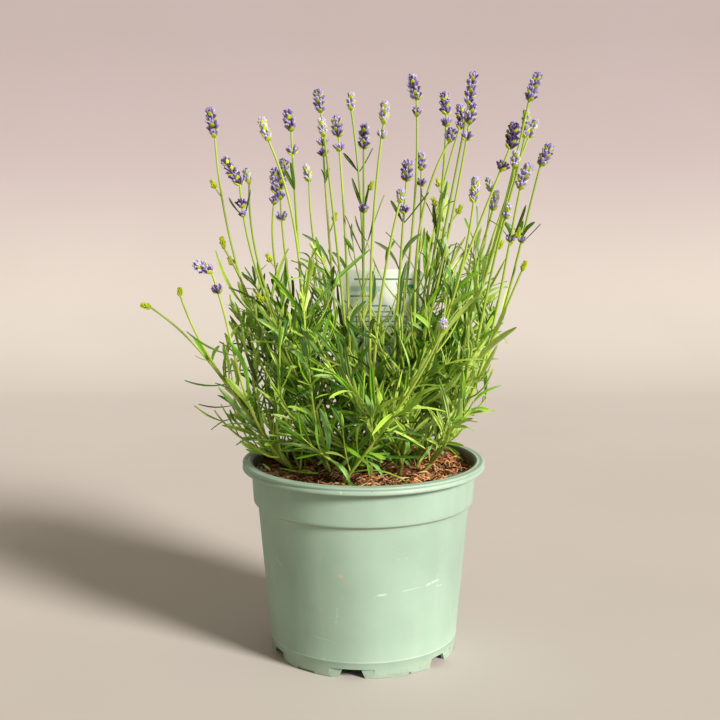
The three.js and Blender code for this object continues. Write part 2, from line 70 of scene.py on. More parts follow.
def pickVertices(piece, test):
    # edit mode with the vertices that pass the test, given as x, y, z in mm
    selectOnly(piece)
    bpy.ops.object.mode_set(mode="EDIT")
    bpy.ops.mesh.select_mode(type="VERT")
    bpy.ops.mesh.select_all(action="DESELECT")
    bpy.ops.object.mode_set(mode="OBJECT")
    for vertex in piece.data.vertices:
        vertex.select = bool(test(*(vertex.co / mm)))
    bpy.ops.object.mode_set(mode="EDIT")


def placeInMesh(piece):
    selectOnly(piece)
    bpy.ops.object.transform_apply(location=True, rotation=True, scale=True)


def applyModifier(piece, kind, **settings):
    selectOnly(piece)
    modifier = piece.modifiers.new(kind.title(), kind)
    for key, value in settings.items():
        setattr(modifier, key, value)
    bpy.ops.object.modifier_apply(modifier=modifier.name)


def smoothShade(piece, degrees):
    selectOnly(piece)
    bpy.ops.object.shade_smooth_by_angle(angle=math.radians(degrees))


def unit(vectors):
    length = np.linalg.norm(vectors, axis=-1, keepdims=True)
    return vectors / np.maximum(length, 1e-9)


def ringShape(name, sides, rings):
    # one face drawn out through rings of (height, across, out), all in mm, and closed at both ends
    deselectAll()
    height, across, out = rings[0]
    bpy.ops.mesh.primitive_circle_add(vertices=sides, radius=mm, fill_type="NGON", location=(0, 0, 0))
    piece = named(name)
    bpy.ops.object.mode_set(mode="EDIT")
    bpy.ops.mesh.select_all(action="SELECT")
    bpy.ops.transform.resize(value=(across, out, 1), center_override=(0, 0, 0))
    bpy.ops.transform.translate(value=(0, 0, height * mm))
    for nextHeight, nextAcross, nextOut in rings[1:]:
        step = (0, 0, (nextHeight - height) * mm)
        bpy.ops.mesh.extrude_region_move(TRANSFORM_OT_translate={"value": step})
        bpy.ops.transform.resize(value=(nextAcross / across, nextOut / out, 1),
                                 center_override=(0, 0, nextHeight * mm))
        height, across, out = nextHeight, nextAcross, nextOut
    bpy.ops.mesh.select_all(action="SELECT")
    bpy.ops.mesh.normals_make_consistent(inside=False)
    bpy.ops.object.mode_set(mode="OBJECT")
    return piece


# Materials: every colour is sRGB hex text, and one function adds a node with its settings and links

def addNode(tree, kind, inputs=None, stops=(), **settings):
    node = tree.nodes.new(kind)
    for key, value in settings.items():
        setattr(node, key, value)
    for key, value in (inputs or {}).items():
        if isinstance(value, bpy.types.NodeSocket):
            tree.links.new(value, node.inputs[key])
        else:
            node.inputs[key].default_value = linearColour(value) if isinstance(value, str) else value
    for place, (position, colour) in enumerate(stops):
        ramp = node.color_ramp.elements
        element = ramp[place] if place < 2 else ramp.new(position)
        element.position, element.color = position, linearColour(colour)
    return node


def newMaterial(name, noises, marks=()):
    # a bare material with what its colours go by: the place, noises of a scale and detail, and mesh marks
    material = bpy.data.materials.new(name)
    material.use_nodes = True
    tree = material.node_tree
    tree.nodes.clear()
    spots = addNode(tree, "ShaderNodeTexCoord").outputs["Object"]
    parts = addNode(tree, "ShaderNodeSeparateXYZ", {0: spots}).outputs
    at = {"spots": spots, "x": parts["X"], "z": parts["Z"]}
    for key, (scale, detail) in noises.items():
        at[key] = addNode(tree, "ShaderNodeTexNoise",
                          {"Vector": spots, "Scale": scale, "Detail": detail}).outputs[0]
    for key in marks:
        at[key] = addNode(tree, "ShaderNodeAttribute", attribute_name=key).outputs["Fac"]
    return material, tree, at


def within(tree, *ranges):
    # the product of values, each as it is or as a smooth step: value, low, high, least and most
    share = None
    for step in ranges:
        if isinstance(step, tuple):
            value, low, high, least, most = step if len(step) == 5 else (*step, 0, 1)
            limits = {"Value": value, "From Min": low, "From Max": high, "To Min": least, "To Max": most}
            step = addNode(tree, "ShaderNodeMapRange", limits, interpolation_type="SMOOTHSTEP").outputs[0]
        share = step if share is None else addNode(tree, "ShaderNodeMath", {0: share, 1: step},
                                                   operation="MULTIPLY").outputs[0]
    return share


def coated(tree, colour, *coats):
    # coats of colour over the first, each with the ranges that it lies within
    for coat, *ranges in coats:
        colour = addNode(tree, "ShaderNodeMix", {0: within(tree, *ranges), 6: colour, 7: coat},
                         data_type="RGBA").outputs[2]
    return colour


def surfaced(material, tree, inputs, *bumps):
    # ends a material with its shader, and with bumps of a height, strength and distance
    for height, strength, distance in bumps:
        below = {"Normal": inputs["Normal"]} if "Normal" in inputs else {}
        inputs["Normal"] = addNode(tree, "ShaderNodeBump", {"Height": height, "Strength": strength,
                                                            "Distance": distance, **below}).outputs[0]
    shader = addNode(tree, "ShaderNodeBsdfPrincipled", inputs)
    addNode(tree, "ShaderNodeOutputMaterial", {"Surface": shader.outputs[0]})
    return material


def litUnder(weight, *reach):
    # light that goes under the surface, and how far in metres its red, green and blue go
    return {"Subsurface Weight": weight, "Subsurface Radius": reach, "Subsurface Scale": 1.0}


# Camera and studio

studio = {
    "cameraPlace": (0, -908, 363),
    "cameraPitch": 8.35,
    "cameraPan": 0.175,
    "lens": 59,
    "floorColour": "bdbab5",
    "wallColour": "a89ea1",
    "shadeColour": "958e89",
    "keyAzimuth": 50,
    "keyHeight": 28,
    "keySpread": 15,                   # degrees across, as a large softbox far away
    "keyStrength": 5.7,
    "keyColour": "fff5ee",
    "fillPower": 0.32,
    "fillColour": "f8eecc",
    "floorSize": (7, 3.6),             # in metres, as are the next two
    "wallHeight": 3,
    "wallBend": 0.7,
}


def setStudio():
    deselectAll()
    bpy.ops.object.camera_add(location=[v * mm for v in studio["cameraPlace"]],
                              rotation=(math.radians(90 - studio["cameraPitch"]), 0,
                                        math.radians(studio["cameraPan"])))
    camera = bpy.context.object
    camera.name = "studioCamera"
    camera.data.lens = studio["lens"]
    camera.data.sensor_width = 36
    bpy.context.scene.camera = camera
    azimuth, height = math.radians(studio["keyAzimuth"]), math.radians(studio["keyHeight"])
    bpy.ops.object.light_add(type="SUN", location=(1, -1, 1), rotation=(math.pi / 2 - height, 0, azimuth))
    key = bpy.context.object
    key.name = "keyLight"
    key.data.angle = math.radians(studio["keySpread"])
    key.data.energy = studio["keyStrength"]
    key.data.color = linearColour(studio["keyColour"])[:3]
    world = bpy.data.worlds.new("studioFill")
    world.use_nodes = True
    fill = next(n for n in world.node_tree.nodes if n.type == "BACKGROUND")
    fill.inputs["Color"].default_value = linearColour(studio["fillColour"])
    fill.inputs["Strength"].default_value = studio["fillPower"]
    bpy.context.scene.world = world
    bpy.context.scene.view_settings.view_transform = "Standard"

    bpy.ops.mesh.primitive_plane_add(size=1, location=(0, 0, 0))
    floor = named("studioFloor")
    floor.scale = (*studio["floorSize"], 1)
    placeInMesh(floor)
    pickVertices(floor, lambda x, y, z: y > 0)
    bpy.ops.mesh.select_mode(type="EDGE")
    bpy.ops.mesh.extrude_region_move(TRANSFORM_OT_translate={"value": (0, 0, studio["wallHeight"])})
    pickVertices(floor, lambda x, y, z: y > 0 and z < 1)
    bpy.ops.mesh.select_mode(type="EDGE")
    bpy.ops.mesh.bevel(offset=studio["wallBend"], segments=16)
    bpy.ops.object.mode_set(mode="OBJECT")
    smoothShade(floor, 60)
    material, tree, at = newMaterial("floorPaint", {"cloud": (3, 3)})      # matt paint, evenly rolled
    colour = coated(tree, studio["floorColour"], (studio["wallColour"], (at["z"], 0.02, 0.5)),
                    (studio["shadeColour"], (at["cloud"], 0.35, 0.65, 0.07, 0)))
    surfaced(material, tree, {"Base Color": colour, "Roughness": 0.85})
    floor.data.materials.append(material)


setStudio()
print("camera, light and floor set")


# The pot

pot = {
    "steps": 192,
    "notchCount": 6,
    "notchTurn": -97,
    "skirtRadius": 69,
    "recess": (34, 24, 7.6),          # width, depth and height of the wide notches
    "recessRadius": 71,
    "drainWidths": (22, 14),          # at the foot and at the top
    "slotWidth": 18,
    "slotRadius": 58,
    "plateHeight": 8,
    "shallow": (16, 24, 2),
    "shallowTurn": 30,
    "sage": "9ab6a4",
    "sageDeep": "90aa9a",
    "scuff": "d8e6d4",
    "smudge": "c9ab86",
    "speck": "5b3a26",
    "fleck": "cfe0a8",
    # stain and painted shade on the inside wall above the compost
    "innerStainAndShade": "2f4226",
    "flow": "aac0b0",
    "dust": "d3cfae",
    "creaseDustAndShade": "a08a62",
    "rubbed": "e3ecd8",
    "soil": "a98e62",
    # height and radius of the wall, from the foot up the outside and down the inside
    "rings": [
        (0, 39.2), (0.5, 40.2), (7.4, 44.5), (8, 45.2), (8, 68.6), (7.6, 69), (0.4, 69), (0, 69.4),
        (0, 72.2), (0.5, 72.75), (6, 73.3), (12.2, 73.9), (12.7, 74.25), (13.3, 74.3), (13.8, 74.1),
        (30, 75.5), (50, 77.25), (72, 79.15), (94, 81.05), (115, 82.85), (118.1, 83.1), (118.6, 83.35),
        (119.0, 84.0), (119.9, 85.8), (120.4, 86.3), (121.2, 86.5), (123, 86.6), (134, 87.2), (145, 87.85),
        (149.6, 88.15), (150.3, 88.6), (150.5, 89.4), (150.5, 92.5), (150.1, 93.2), (146.4, 93.4),
        (145.95, 93.7), (145.9, 94.3), (146.3, 94.75), (147.2, 94.9), (148.1, 94.65), (148.7, 94.15),
        (149.2, 94.0), (149.7, 94.2), (150.3, 94.7), (150.9, 94.75), (151.5, 94.4), (151.9, 93.7),
        (152, 92.8), (151.85, 91.9), (151.6, 91.3), (151.6, 90.4), (151.85, 89.8), (152, 89.1),
        (151.9, 88.3), (151.5, 87.6), (150.7, 87.1), (149, 86.85), (136, 86), (123, 85), (121.6, 84.7),
        (120.4, 83.7), (119.2, 82.3), (118, 81.5), (96, 79.6), (60, 76.4), (24, 73.2), (10.4, 72.1),
        (9.6, 71.3), (9.6, 46), (9, 45.2), (2.2, 41.4), (1.6, 40.6),
    ],
    # scuffs and smudges: centre, half sizes along and upright, turn round the pot, tilt, colour, strength
    "marks": [
        ((13.5, -77.6, 67.0), (7, 0.8), -80, -6, "scuff", 0.5),
        ((33, -72.3, 68.8), (9, 0.5), -65, -5, "scuff", 0.4),
        ((50.5, -60.5, 70.5), (8, 1.1), -50, -9, "scuff", 0.45),
        ((57, -54.5, 66.5), (5, 0.5), -43, 4, "scuff", 0.4),
        ((-16.5, -78.2, 81), (2.8, 1.6), -102, 20, "smudge", 0.6),
        ((-12, -79, 78), (6, 1.2), -98, 24, "smudge", 0.25),
        ((25.1, -77, 93.5), (1.8, 1.3), -72, -15, "smudge", 0.55),
        ((-64, -48, 82.5), (5.5, 0.5), -143, 32, "scuff", 0.45),
        ((-20, -76, 50), (1.2, 7), -105, 8, "scuff", 0.22),
        ((6, -94.3, 149.2), (1.0, 0.8), -86, 0, "speck", 1.0),
        ((-16, -92.8, 148.3), (0.5, 1.8), -100, 0, "fleck", 0.9),
        ((-30, -70, 30), (12, 0.4), -113, 6, "scuff", 0.25),
        ((70, -38, 40), (0.6, 9), -28, -10, "scuff", 0.3),
        ((60, 55, 70), (8, 0.6), 42, -7, "scuff", 0.7),
        ((-40, 70, 88), (6, 0.5), 120, 5, "scuff", 0.5),
        ((-70, 35, 52), (3, 1.4), 153, 12, "smudge", 0.5),
    ],
    # dust and painted shade in the crease under the collar and on the mould line under the rim lip, and the
    # rubbed edge above the skirt
    "creases": [(118.5, 0.7, 0.75, "creaseDustAndShade"), (145.9, 0.5, 0.6, "creaseDustAndShade"), (13.2, 0.7, 0.26, "rubbed")],
}


def cutterBox(width, depth, height, innerRadius, bottom):
    deselectAll()
    place = (0, -(innerRadius + depth / 2) * mm, (bottom + height / 2) * mm)
    bpy.ops.mesh.primitive_cube_add(size=1, location=place)
    box = named("cutter")
    box.scale = (width * mm, depth * mm, height * mm)
    placeInMesh(box)
    return box


def roundCopies(piece, firstTurn):
    # the same cutter at each notch, joined
    copies = [piece]
    for _ in range(1, pot["notchCount"]):
        selectOnly(piece)
        bpy.ops.object.duplicate()
        copies.append(bpy.context.object)
    for i, copy in enumerate(copies):
        copy.rotation_euler.z = math.radians(firstTurn + 90 + i * 360 / pot["notchCount"])
        placeInMesh(copy)
    selectOnly(*copies)
    bpy.ops.object.join()
    return bpy.context.object


def cutAway(piece, cutter):
    applyModifier(piece, "BOOLEAN", object=cutter, operation="DIFFERENCE", solver="EXACT")
    bpy.data.objects.remove(cutter)


def sagePlastic():
    # injection-moulded polypropylene: satin, faintly cloudy, scuffed where pots rub in the tray;
    # its grain is drawn at about 1 mm, coarser than the real one, so that it shows
    material, tree, at = newMaterial("sagePolypropylene", {
        "cloud": (16, 4), "dust": (420, 2), "ragged": (300, 3), "grain": (900, 2)})
    spots, height = at["spots"], at["z"]
    tall = addNode(tree, "ShaderNodeMapping", {"Vector": spots, "Scale": (60, 60, 7)}).outputs[0]
    flow = addNode(tree, "ShaderNodeTexNoise", {"Vector": tall, "Scale": 1.0, "Detail": 3.0}).outputs[0]
    colour = coated(tree, pot["sageDeep"], (pot["sage"], (at["cloud"], 0.3, 0.7)),
                    (pot["flow"], (flow, 0.42, 0.75, 0, 0.28)),
                    (pot["dust"], (at["dust"], 0.66, 0.78, 0, 0.22)))
    rough = addNode(tree, "ShaderNodeMath", {0: at["ragged"], 1: 2.6, 2: -1.2},
                    operation="MULTIPLY_ADD").outputs[0]
    for place, (along, upright), turn, tilt, tint, strength in pot["marks"]:
        moved = addNode(tree, "ShaderNodeMapping", {
            "Vector": spots, "Location": [v * mm for v in place],
            "Rotation": (0, math.radians(tilt), math.radians(turn + 90)),
            "Scale": (along * mm, 0.02, upright * mm),
        }, vector_type="TEXTURE").outputs[0]
        away = addNode(tree, "ShaderNodeVectorMath", {0: moved}, operation="LENGTH").outputs["Value"]
        uneven = addNode(tree, "ShaderNodeMath", {0: away, 1: rough}, operation="ADD").outputs[0]
        colour = coated(tree, colour, (pot[tint], (uneven, 1.05, 0.55, 0, strength)))
    # thin lines round the pot: dust and painted shade under the collar and under the rim lip, and the rubbed
    # edge
    for level, half, strength, tint in pot["creases"]:
        off = addNode(tree, "ShaderNodeMath", {0: height, 1: level * mm}, operation="SUBTRACT").outputs[0]
        off = addNode(tree, "ShaderNodeMath", {0: off}, operation="ABSOLUTE").outputs[0]
        colour = coated(tree, colour, (pot[tint], (off, half * mm, half * 0.3 * mm, 0, strength),
                                       (flow, 0.3, 0.6, 0.5, 1)))
    # the inside above the compost: stained by wet peat and algae, with painted shade inside the rim; the foot
    # is soiled
    flat = addNode(tree, "ShaderNodeMapping", {"Vector": spots, "Scale": (1, 1, 0)}).outputs[0]
    around = addNode(tree, "ShaderNodeVectorMath", {0: flat}, operation="LENGTH").outputs["Value"]
    leaning = addNode(tree, "ShaderNodeMath", {0: height, 1: -0.06, 2: around},
                      operation="MULTIPLY_ADD").outputs[0]
    lip = within(tree, (height, 0.15, 0.1508, 0, -0.0012))
    leaning = addNode(tree, "ShaderNodeMath", {0: leaning, 1: lip}, operation="ADD").outputs[0]
    colour = coated(tree, colour,
                    (pot["innerStainAndShade"], (leaning, 0.079, 0.0784), (height, 0.1335, 0.1365, 0, 0.85)),
                    (pot["soil"], (height, 0.012, 0.0), (at["ragged"], 0.45, 0.7, 0, 0.45)))
    return surfaced(material, tree, {
        "Base Color": colour, "Roughness": within(tree, (at["cloud"], 0.3, 0.7, 0.46, 0.6)), "IOR": 1.49,
        **litUnder(0.08, 0.004, 0.005, 0.003),
    }, (at["grain"], 0.05, 0.0003), (flow, 0.06, 0.0008))


def makePot():
    wall = ringShape("nurseryPot", pot["steps"], [(z, r, r) for z, r in pot["rings"]])
    for (width, depth, height), turn in ((pot["recess"], 0), (pot["shallow"], pot["shallowTurn"])):
        cutter = cutterBox(width, depth, height + 2, pot["recessRadius"], -2)
        cutAway(wall, roundCopies(cutter, pot["notchTurn"] + turn))
    foot, top = pot["drainWidths"]
    drain = cutterBox(foot, 12, pot["recess"][2] + 1.2, pot["skirtRadius"] - 4, -2)
    pickVertices(drain, lambda x, y, z: z > 0)
    bpy.ops.transform.resize(value=(top / foot, 1, 1), center_override=(0, 0, 0))
    bpy.ops.mesh.select_all(action="DESELECT")
    bpy.ops.object.mode_set(mode="OBJECT")
    cutAway(wall, roundCopies(drain, pot["notchTurn"]))
    slot = cutterBox(pot["slotWidth"], pot["skirtRadius"] - pot["slotRadius"] + 1, 4.8, pot["slotRadius"],
                     pot["plateHeight"] - 2.4)
    cutAway(wall, roundCopies(slot, pot["notchTurn"]))
    smoothShade(wall, 40)
    wall.data.materials.append(sagePlastic())
    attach(wall, "root")
    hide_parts("pot")


flash = {
    "radius": 86.7,
    "footHeight": 147.5,
    "rise": 5.8,
    "lean": 2.6,
    "spans": [(-164, -146), (-47, -29)],   # degrees round the pot
    "thick": 0.25,
}


def makeFlash(name, first, last, seed):
    # thin torn flash that curls inward from the lip
    deselectAll()
    bpy.ops.mesh.primitive_grid_add(x_subdivisions=36, y_subdivisions=4, size=2)
    strip = named(name)
    chance = np.random.default_rng(seed)
    ragged = np.interp(np.linspace(0, 1, 37), np.linspace(0, 1, 13), chance.uniform(0.35, 1, 13))
    for vertex in strip.data.vertices:
        share, up = (vertex.co.x + 1) / 2, (vertex.co.y + 1) / 2
        tall = ragged[round(share * 36)] * math.sin(math.pi * min(1, 0.06 + share * 0.94)) ** 0.35
        angle = math.radians(first + (last - first) * share)
        rise = up * tall
        radius = flash["radius"] - flash["lean"] * rise ** 1.6
        vertex.co = (math.cos(angle) * radius * mm, math.sin(angle) * radius * mm,
                     (flash["footHeight"] + flash["rise"] * rise) * mm)
    applyModifier(strip, "SOLIDIFY", thickness=flash["thick"] * mm, offset=0)
    smoothShade(strip, 60)
    strip.data.materials.append(bpy.data.materials["sagePolypropylene"])
    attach(strip, "root")


makePot()
for place, span in enumerate(flash["spans"]):
    makeFlash("lipFlash" + str(place + 1), *span, 40 + place)
print("pot turned, cut and finished")


# Shapes that repeat are modelled once, then laid along lines of their own

def takeShape(piece):
    # the rings of a source shape, with each vertex's place on its ring, in mm
    mesh = piece.data
    points = np.zeros(len(mesh.vertices) * 3)
    mesh.vertices.foreach_get("co", points)
    points = points.reshape(-1, 3) / mm
    corners = np.zeros(len(mesh.loops), int)
    mesh.loops.foreach_get("vertex_index", corners)
    totals = np.zeros(len(mesh.polygons), int)
    mesh.polygons.foreach_get("loop_total", totals)
    heights, level = np.unique(np.round(points[:, 2], 4), return_inverse=True)
    spread = np.abs(points[:, :2]).max(axis=0)
    level, shares = level.ravel(), (heights - heights[0]) / (heights[-1] - heights[0])
    shape = {"points": points, "corners": corners, "totals": totals, "level": level, "shares": shares,
             "along": shares[level], "across": points[:, 0] / spread[0], "upper": points[:, 1] / spread[1]}
    bpy.data.objects.remove(piece)
    return shape


def layCopies(shape, lines, sides, widths, material=0, **marks):
    # lines and sides: copies x levels x 3; widths: copies, or copies x levels
    widths = np.broadcast_to(np.reshape(widths, (len(lines), -1)), lines.shape[:2])
    along = unit(np.gradient(lines, axis=1))
    sides = unit(sides - along * (sides * along).sum(-1, keepdims=True))
    level = shape["level"]
    places = lines[:, level]
    for axis, way in enumerate((sides, np.cross(along, sides))):
        places = places + way[:, level] * (shape["points"][:, axis] * widths[:, level])[..., None]
    count = len(level)
    held = {key: np.tile(shape[key], len(lines)) for key in ("along", "across", "upper")}
    for key, value in marks.items():
        held[key] = np.repeat(np.broadcast_to(value, len(lines)).astype(float), count)
    return {"places": places.reshape(-1, 3), "shape": shape, "copies": len(lines), "marks": held,
            "material": material}


def joinLayers(name, layers, materials):
    # one mesh of all the copies, with their marks for the materials
    layers = [layer for layer in layers if layer["copies"]]
    places, corners, totals, kinds, offset = [], [], [], [], 0
    for layer in layers:
        shape, copies = layer["shape"], layer["copies"]
        size = len(shape["level"])
        starts = offset + np.arange(copies) * size
        places.append(layer["places"])
        corners.append((starts[:, None] + shape["corners"]).ravel())
        totals.append(np.tile(shape["totals"], copies))
        kinds.append(np.full(copies * len(shape["totals"]), layer["material"]))
        offset += copies * size
    places, corners, totals, kinds = (np.concatenate(x) for x in (places, corners, totals, kinds))
    mesh = bpy.data.meshes.new(name)
    mesh.vertices.add(len(places))
    mesh.vertices.foreach_set("co", (places * mm).ravel().astype(np.float32))
    mesh.loops.add(len(corners))
    mesh.loops.foreach_set("vertex_index", corners.astype(np.int32))
    mesh.polygons.add(len(totals))
    mesh.polygons.foreach_set("loop_start", (np.cumsum(totals) - totals).astype(np.int32))
    mesh.polygons.foreach_set("material_index", kinds.astype(np.int32))
    mesh.update(calc_edges=True)
    for key in sorted({key for layer in layers for key in layer["marks"]}):
        values = np.concatenate([layer["marks"].get(key, np.zeros(len(layer["places"]))) for layer in layers])
        mesh.attributes.new(key, "FLOAT", "POINT").data.foreach_set("value", values.astype(np.float32))
    for material in materials:
        mesh.materials.append(material)
    piece = bpy.data.objects.new(name, mesh)
    bpy.context.scene.collection.objects.link(piece)
    smoothShade(piece, 50)
    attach(piece, "root")
    return piece


# The compost

compost = {
    "steps": 120,
    "surface": 140,
    "edgeRadius": 85.6,
    "mound": 8,                       # height of the heap behind the plant, on the right
    "moundPlace": (47, 34),
    "grain": 1.5,
    "fibres": 4500,
    "fibreLength": (9, 32),
    "fibreWidth": (0.28, 0.76),
    "fibreSpread": 84,                # how far from the middle fibres and crumbs lie
    "crumbs": 290,
    "crumbSize": (0.7, 2.2),
    "crumbSpread": 82,
    "dark": "260e05",
    "brown": "b26c40",
    "tan": "e8ba84",
    "straw": "f8e4b8",
    "leftPaintedShade": "3c1a0a",
}


def soilHeight(x, y):
    waves = np.sin(x * 0.071 + 0.6) + np.cos(y * 0.083 - x * 0.031) + np.sin((x + y) * 0.12)
    ripple = np.sin(x * 0.43 + 1.7 * np.sin(y * 0.19)) * np.cos(y * 0.39 + 1.3 * np.sin(x * 0.23))
    away = np.hypot(x - compost["moundPlace"][0], y - compost["moundPlace"][1])
    edge = np.clip((86 - np.hypot(x, y)) / 15, 0, 1)
    heap = compost["mound"] * np.exp(-(away / 34) ** 2) * edge
    return compost["surface"] + 0.77 * waves + 0.8 * ripple * edge + heap


def coirMaterial(name, least, most):
    # milled coir and peat: fibrous, matt, dark in clumps and tan where the fibres are dry, with painted shade
    # between the fibres and towards the left
    material, tree, at = newMaterial(name, {"clump": (95, 5), "fleck": (640, 3)}, ["tone"])
    light = within(tree, at["tone"], (at["fleck"], 0.3, 0.7, 0.55, 1.1))
    colour = coated(tree, compost["dark"], (compost["brown"], (at["clump"], 0.36, 0.64)),
                    # painted shade: low tones are darkened, and the body's low tone makes it read as the
                    # shade between the fibres
                    (compost["dark"], (at["tone"], 0.3, 0.1, 0, 0.75)),
                    (compost["tan"], (light, least, most)),
                    (compost["straw"], (at["tone"], 0.93, 1.0, 0, 0.6)),
                    # painted shade: the compost is darkened towards the left, away from the key light
                    (compost["leftPaintedShade"], (at["x"], 0.012, -0.04, 0, 0.5)))       # on the left
    return surfaced(material, tree, {"Base Color": colour, "Roughness": 0.88, "Specular IOR Level": 0.3},
                    (at["fleck"], 0.6, 0.0008))


def scattered(count, reach, chance):
    # points spread evenly over the compost
    radius = reach * np.sqrt(chance.uniform(0, 1, count))
    turn = chance.uniform(0, 2 * math.pi, count)
    return radius * np.cos(turn), radius * np.sin(turn)


def makeCompost():
    rings = [(10.4, 70.4), (30, 73), (90, 78.2), (118.4, 80.6), (122.4, 83.8), (136, 85.2), (138.5, 85.4)]
    rings += [(140, compost["edgeRadius"] - 0.3)]
    rings += [(140, r) for r in np.linspace(83.4, 1.2, 46)]
    body = ringShape("coirBody", compost["steps"], [(z, r, r) for z, r in rings])
    chance = np.random.default_rng(11)
    for vertex in body.data.vertices:
        x, y, z = vertex.co / mm
        if z > 139.9:
            lump = chance.uniform(-0.5, 0.5) * compost["grain"] * min(1, (86 - math.hypot(x, y)) / 4 + 0.2)
            vertex.co.z = (soilHeight(x, y) + lump - 0.5) * mm
    # a low tone for the body, so that it is darker as painted shade between the fibres laid over it
    body.data.attributes.new("tone", "FLOAT", "POINT").data.foreach_set(
        "value", np.full(len(body.data.vertices), 0.15, np.float32))
    body.data.materials.append(coirMaterial("coirPeat", 0.5, 1.0))
    smoothShade(body, 60)

    fibre = takeShape(ringShape("fibreSource", 3, [(0, 0.5, 0.35), (1, 1, 0.6), (2, 1, 0.6), (3, 1, 0.6),
                                                   (4, 1, 0.6), (5, 0.8, 0.5), (6, 0.3, 0.2)]))
    count = compost["fibres"]
    start = np.stack(scattered(count, compost["fibreSpread"], chance), axis=-1)
    heading = chance.uniform(0, 2 * math.pi, count)
    bend = chance.normal(0, 2.1, count)
    wave = chance.normal(0, 1.2, count)
    length = chance.uniform(*compost["fibreLength"], count) * chance.uniform(0.4, 1, count)
    share = fibre["shares"][None, :]
    turn = heading[:, None] + bend[:, None] * share + wave[:, None] * np.sin(share * 6.3)
    steps = np.stack([np.cos(turn), np.sin(turn)], axis=-1) * (length / 6)[:, None, None]
    flat = start[:, None] + np.cumsum(steps, axis=1) - steps[:, :1]
    out = np.linalg.norm(flat, axis=-1)
    flat = flat * np.minimum(1, 84.6 / np.maximum(out, 1e-6))[..., None]
    arch = chance.uniform(0, 1, count) ** 2 * 0.3 * length
    lift = 0.35 + chance.uniform(0, 1.5, count)[:, None] + arch[:, None] * np.sin(share * math.pi)
    ends = chance.uniform(-0.4, 1.6, count)[:, None] * share ** 3
    lines = np.dstack([flat, soilHeight(flat[..., 0], flat[..., 1]) + lift + ends])
    tone = chance.beta(1.2, 1.2, count)
    layers = [layCopies(fibre, lines, np.broadcast_to([0.1, 0.05, 1.0], lines.shape),
                        chance.uniform(*compost["fibreWidth"], count), tone=tone)]

    deselectAll()
    bpy.ops.mesh.primitive_ico_sphere_add(subdivisions=2, radius=mm, location=(0, 0, 0))
    lump = named("crumbSource")
    for vertex in lump.data.vertices:
        vertex.co *= 1 + 0.28 * math.sin(vertex.co.x / mm * 5 + 1) * math.cos(vertex.co.y / mm * 4)
    crumb = takeShape(lump)
    count = compost["crumbs"]
    x, y = scattered(count, compost["crumbSpread"], chance)
    size = chance.uniform(*compost["crumbSize"], count) * chance.uniform(0.5, 1, count)
    way = unit(chance.normal(0, 1, (count, 3)))
    centre = np.stack([x, y, soilHeight(x, y) + size * 0.15], axis=-1)
    spread = (crumb["shares"] * 2 - 1)[None, :, None] * (size * 0.8)[:, None, None]
    lines = centre[:, None] + way[:, None] * spread
    sides = np.broadcast_to(unit(np.cross(way, [0.3, 0.7, 0.2]))[:, None], lines.shape)
    layers.append(layCopies(crumb, lines, sides, size, tone=chance.beta(1.2, 2.2, count)))
    loose = joinLayers("coirFibres", layers, [coirMaterial("coirFibre", 0.23, 0.88)])

    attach(body, "root")
    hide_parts("compost")


makeCompost()
print("compost laid")


# The plant label: a plain card with a generic ruled panel

label = {
    "width": 69,
    "height": 74,
    "thick": 0.9,
    "corner": 7,
    "top": (16, 74, 295),
    "lean": 6,
    "footWidth": 12,
    "footDepth": 22,
    "white": "f1f8f3",
    "ink": "3f9a8a",
    "paleInk": "b9dccf",
    # left end, right end, depth and half thickness of each bar, from the card's middle and top in mm
    "bars": [(-24, 24, 8, 0.7, "ink"), (12, 27, 14, 1.6, "ink"), (12, 24, 19, 0.6, "ink"),
             (-27, -2, 16, 2.2, "paleInk"), (-27, -8, 22, 0.6, "ink"), (-10, 4, 30, 0.6, "ink"),
             (-27, 8, 35, 0.5, "ink"), (-27, 20, 39, 0.5, "ink"), (-27, 14, 43, 0.5, "ink"),
             (-27, 24, 47, 0.5, "ink"), (-27, 2, 51, 0.5, "ink"), (-30, 30, 60, 3.2, "paleInk")],
}


def cardMaterial():
    # printed polystyrene card: smooth, bright, with thin ruled lines
    material, tree, at = newMaterial("printedCard", {"dust": (260, 3)})
    x, z, edge = at["x"], at["z"], 0.15 * mm
    middle, _, top = label["top"]
    colour = label["white"]
    for left, right, down, half, ink in label["bars"]:
        ends = ((x, middle + left, 1), (x, middle + right, -1), (z, top - down - half, 1),
                (z, top - down + half, -1))
        masks = [(value, limit * mm - edge * sign, limit * mm + edge * sign) for value, limit, sign in ends]
        colour = coated(tree, colour, (label[ink], *masks))
    return surfaced(material, tree, {"Base Color": colour,
                                     "Roughness": within(tree, (at["dust"], 0.3, 0.7, 0.24, 0.42))})


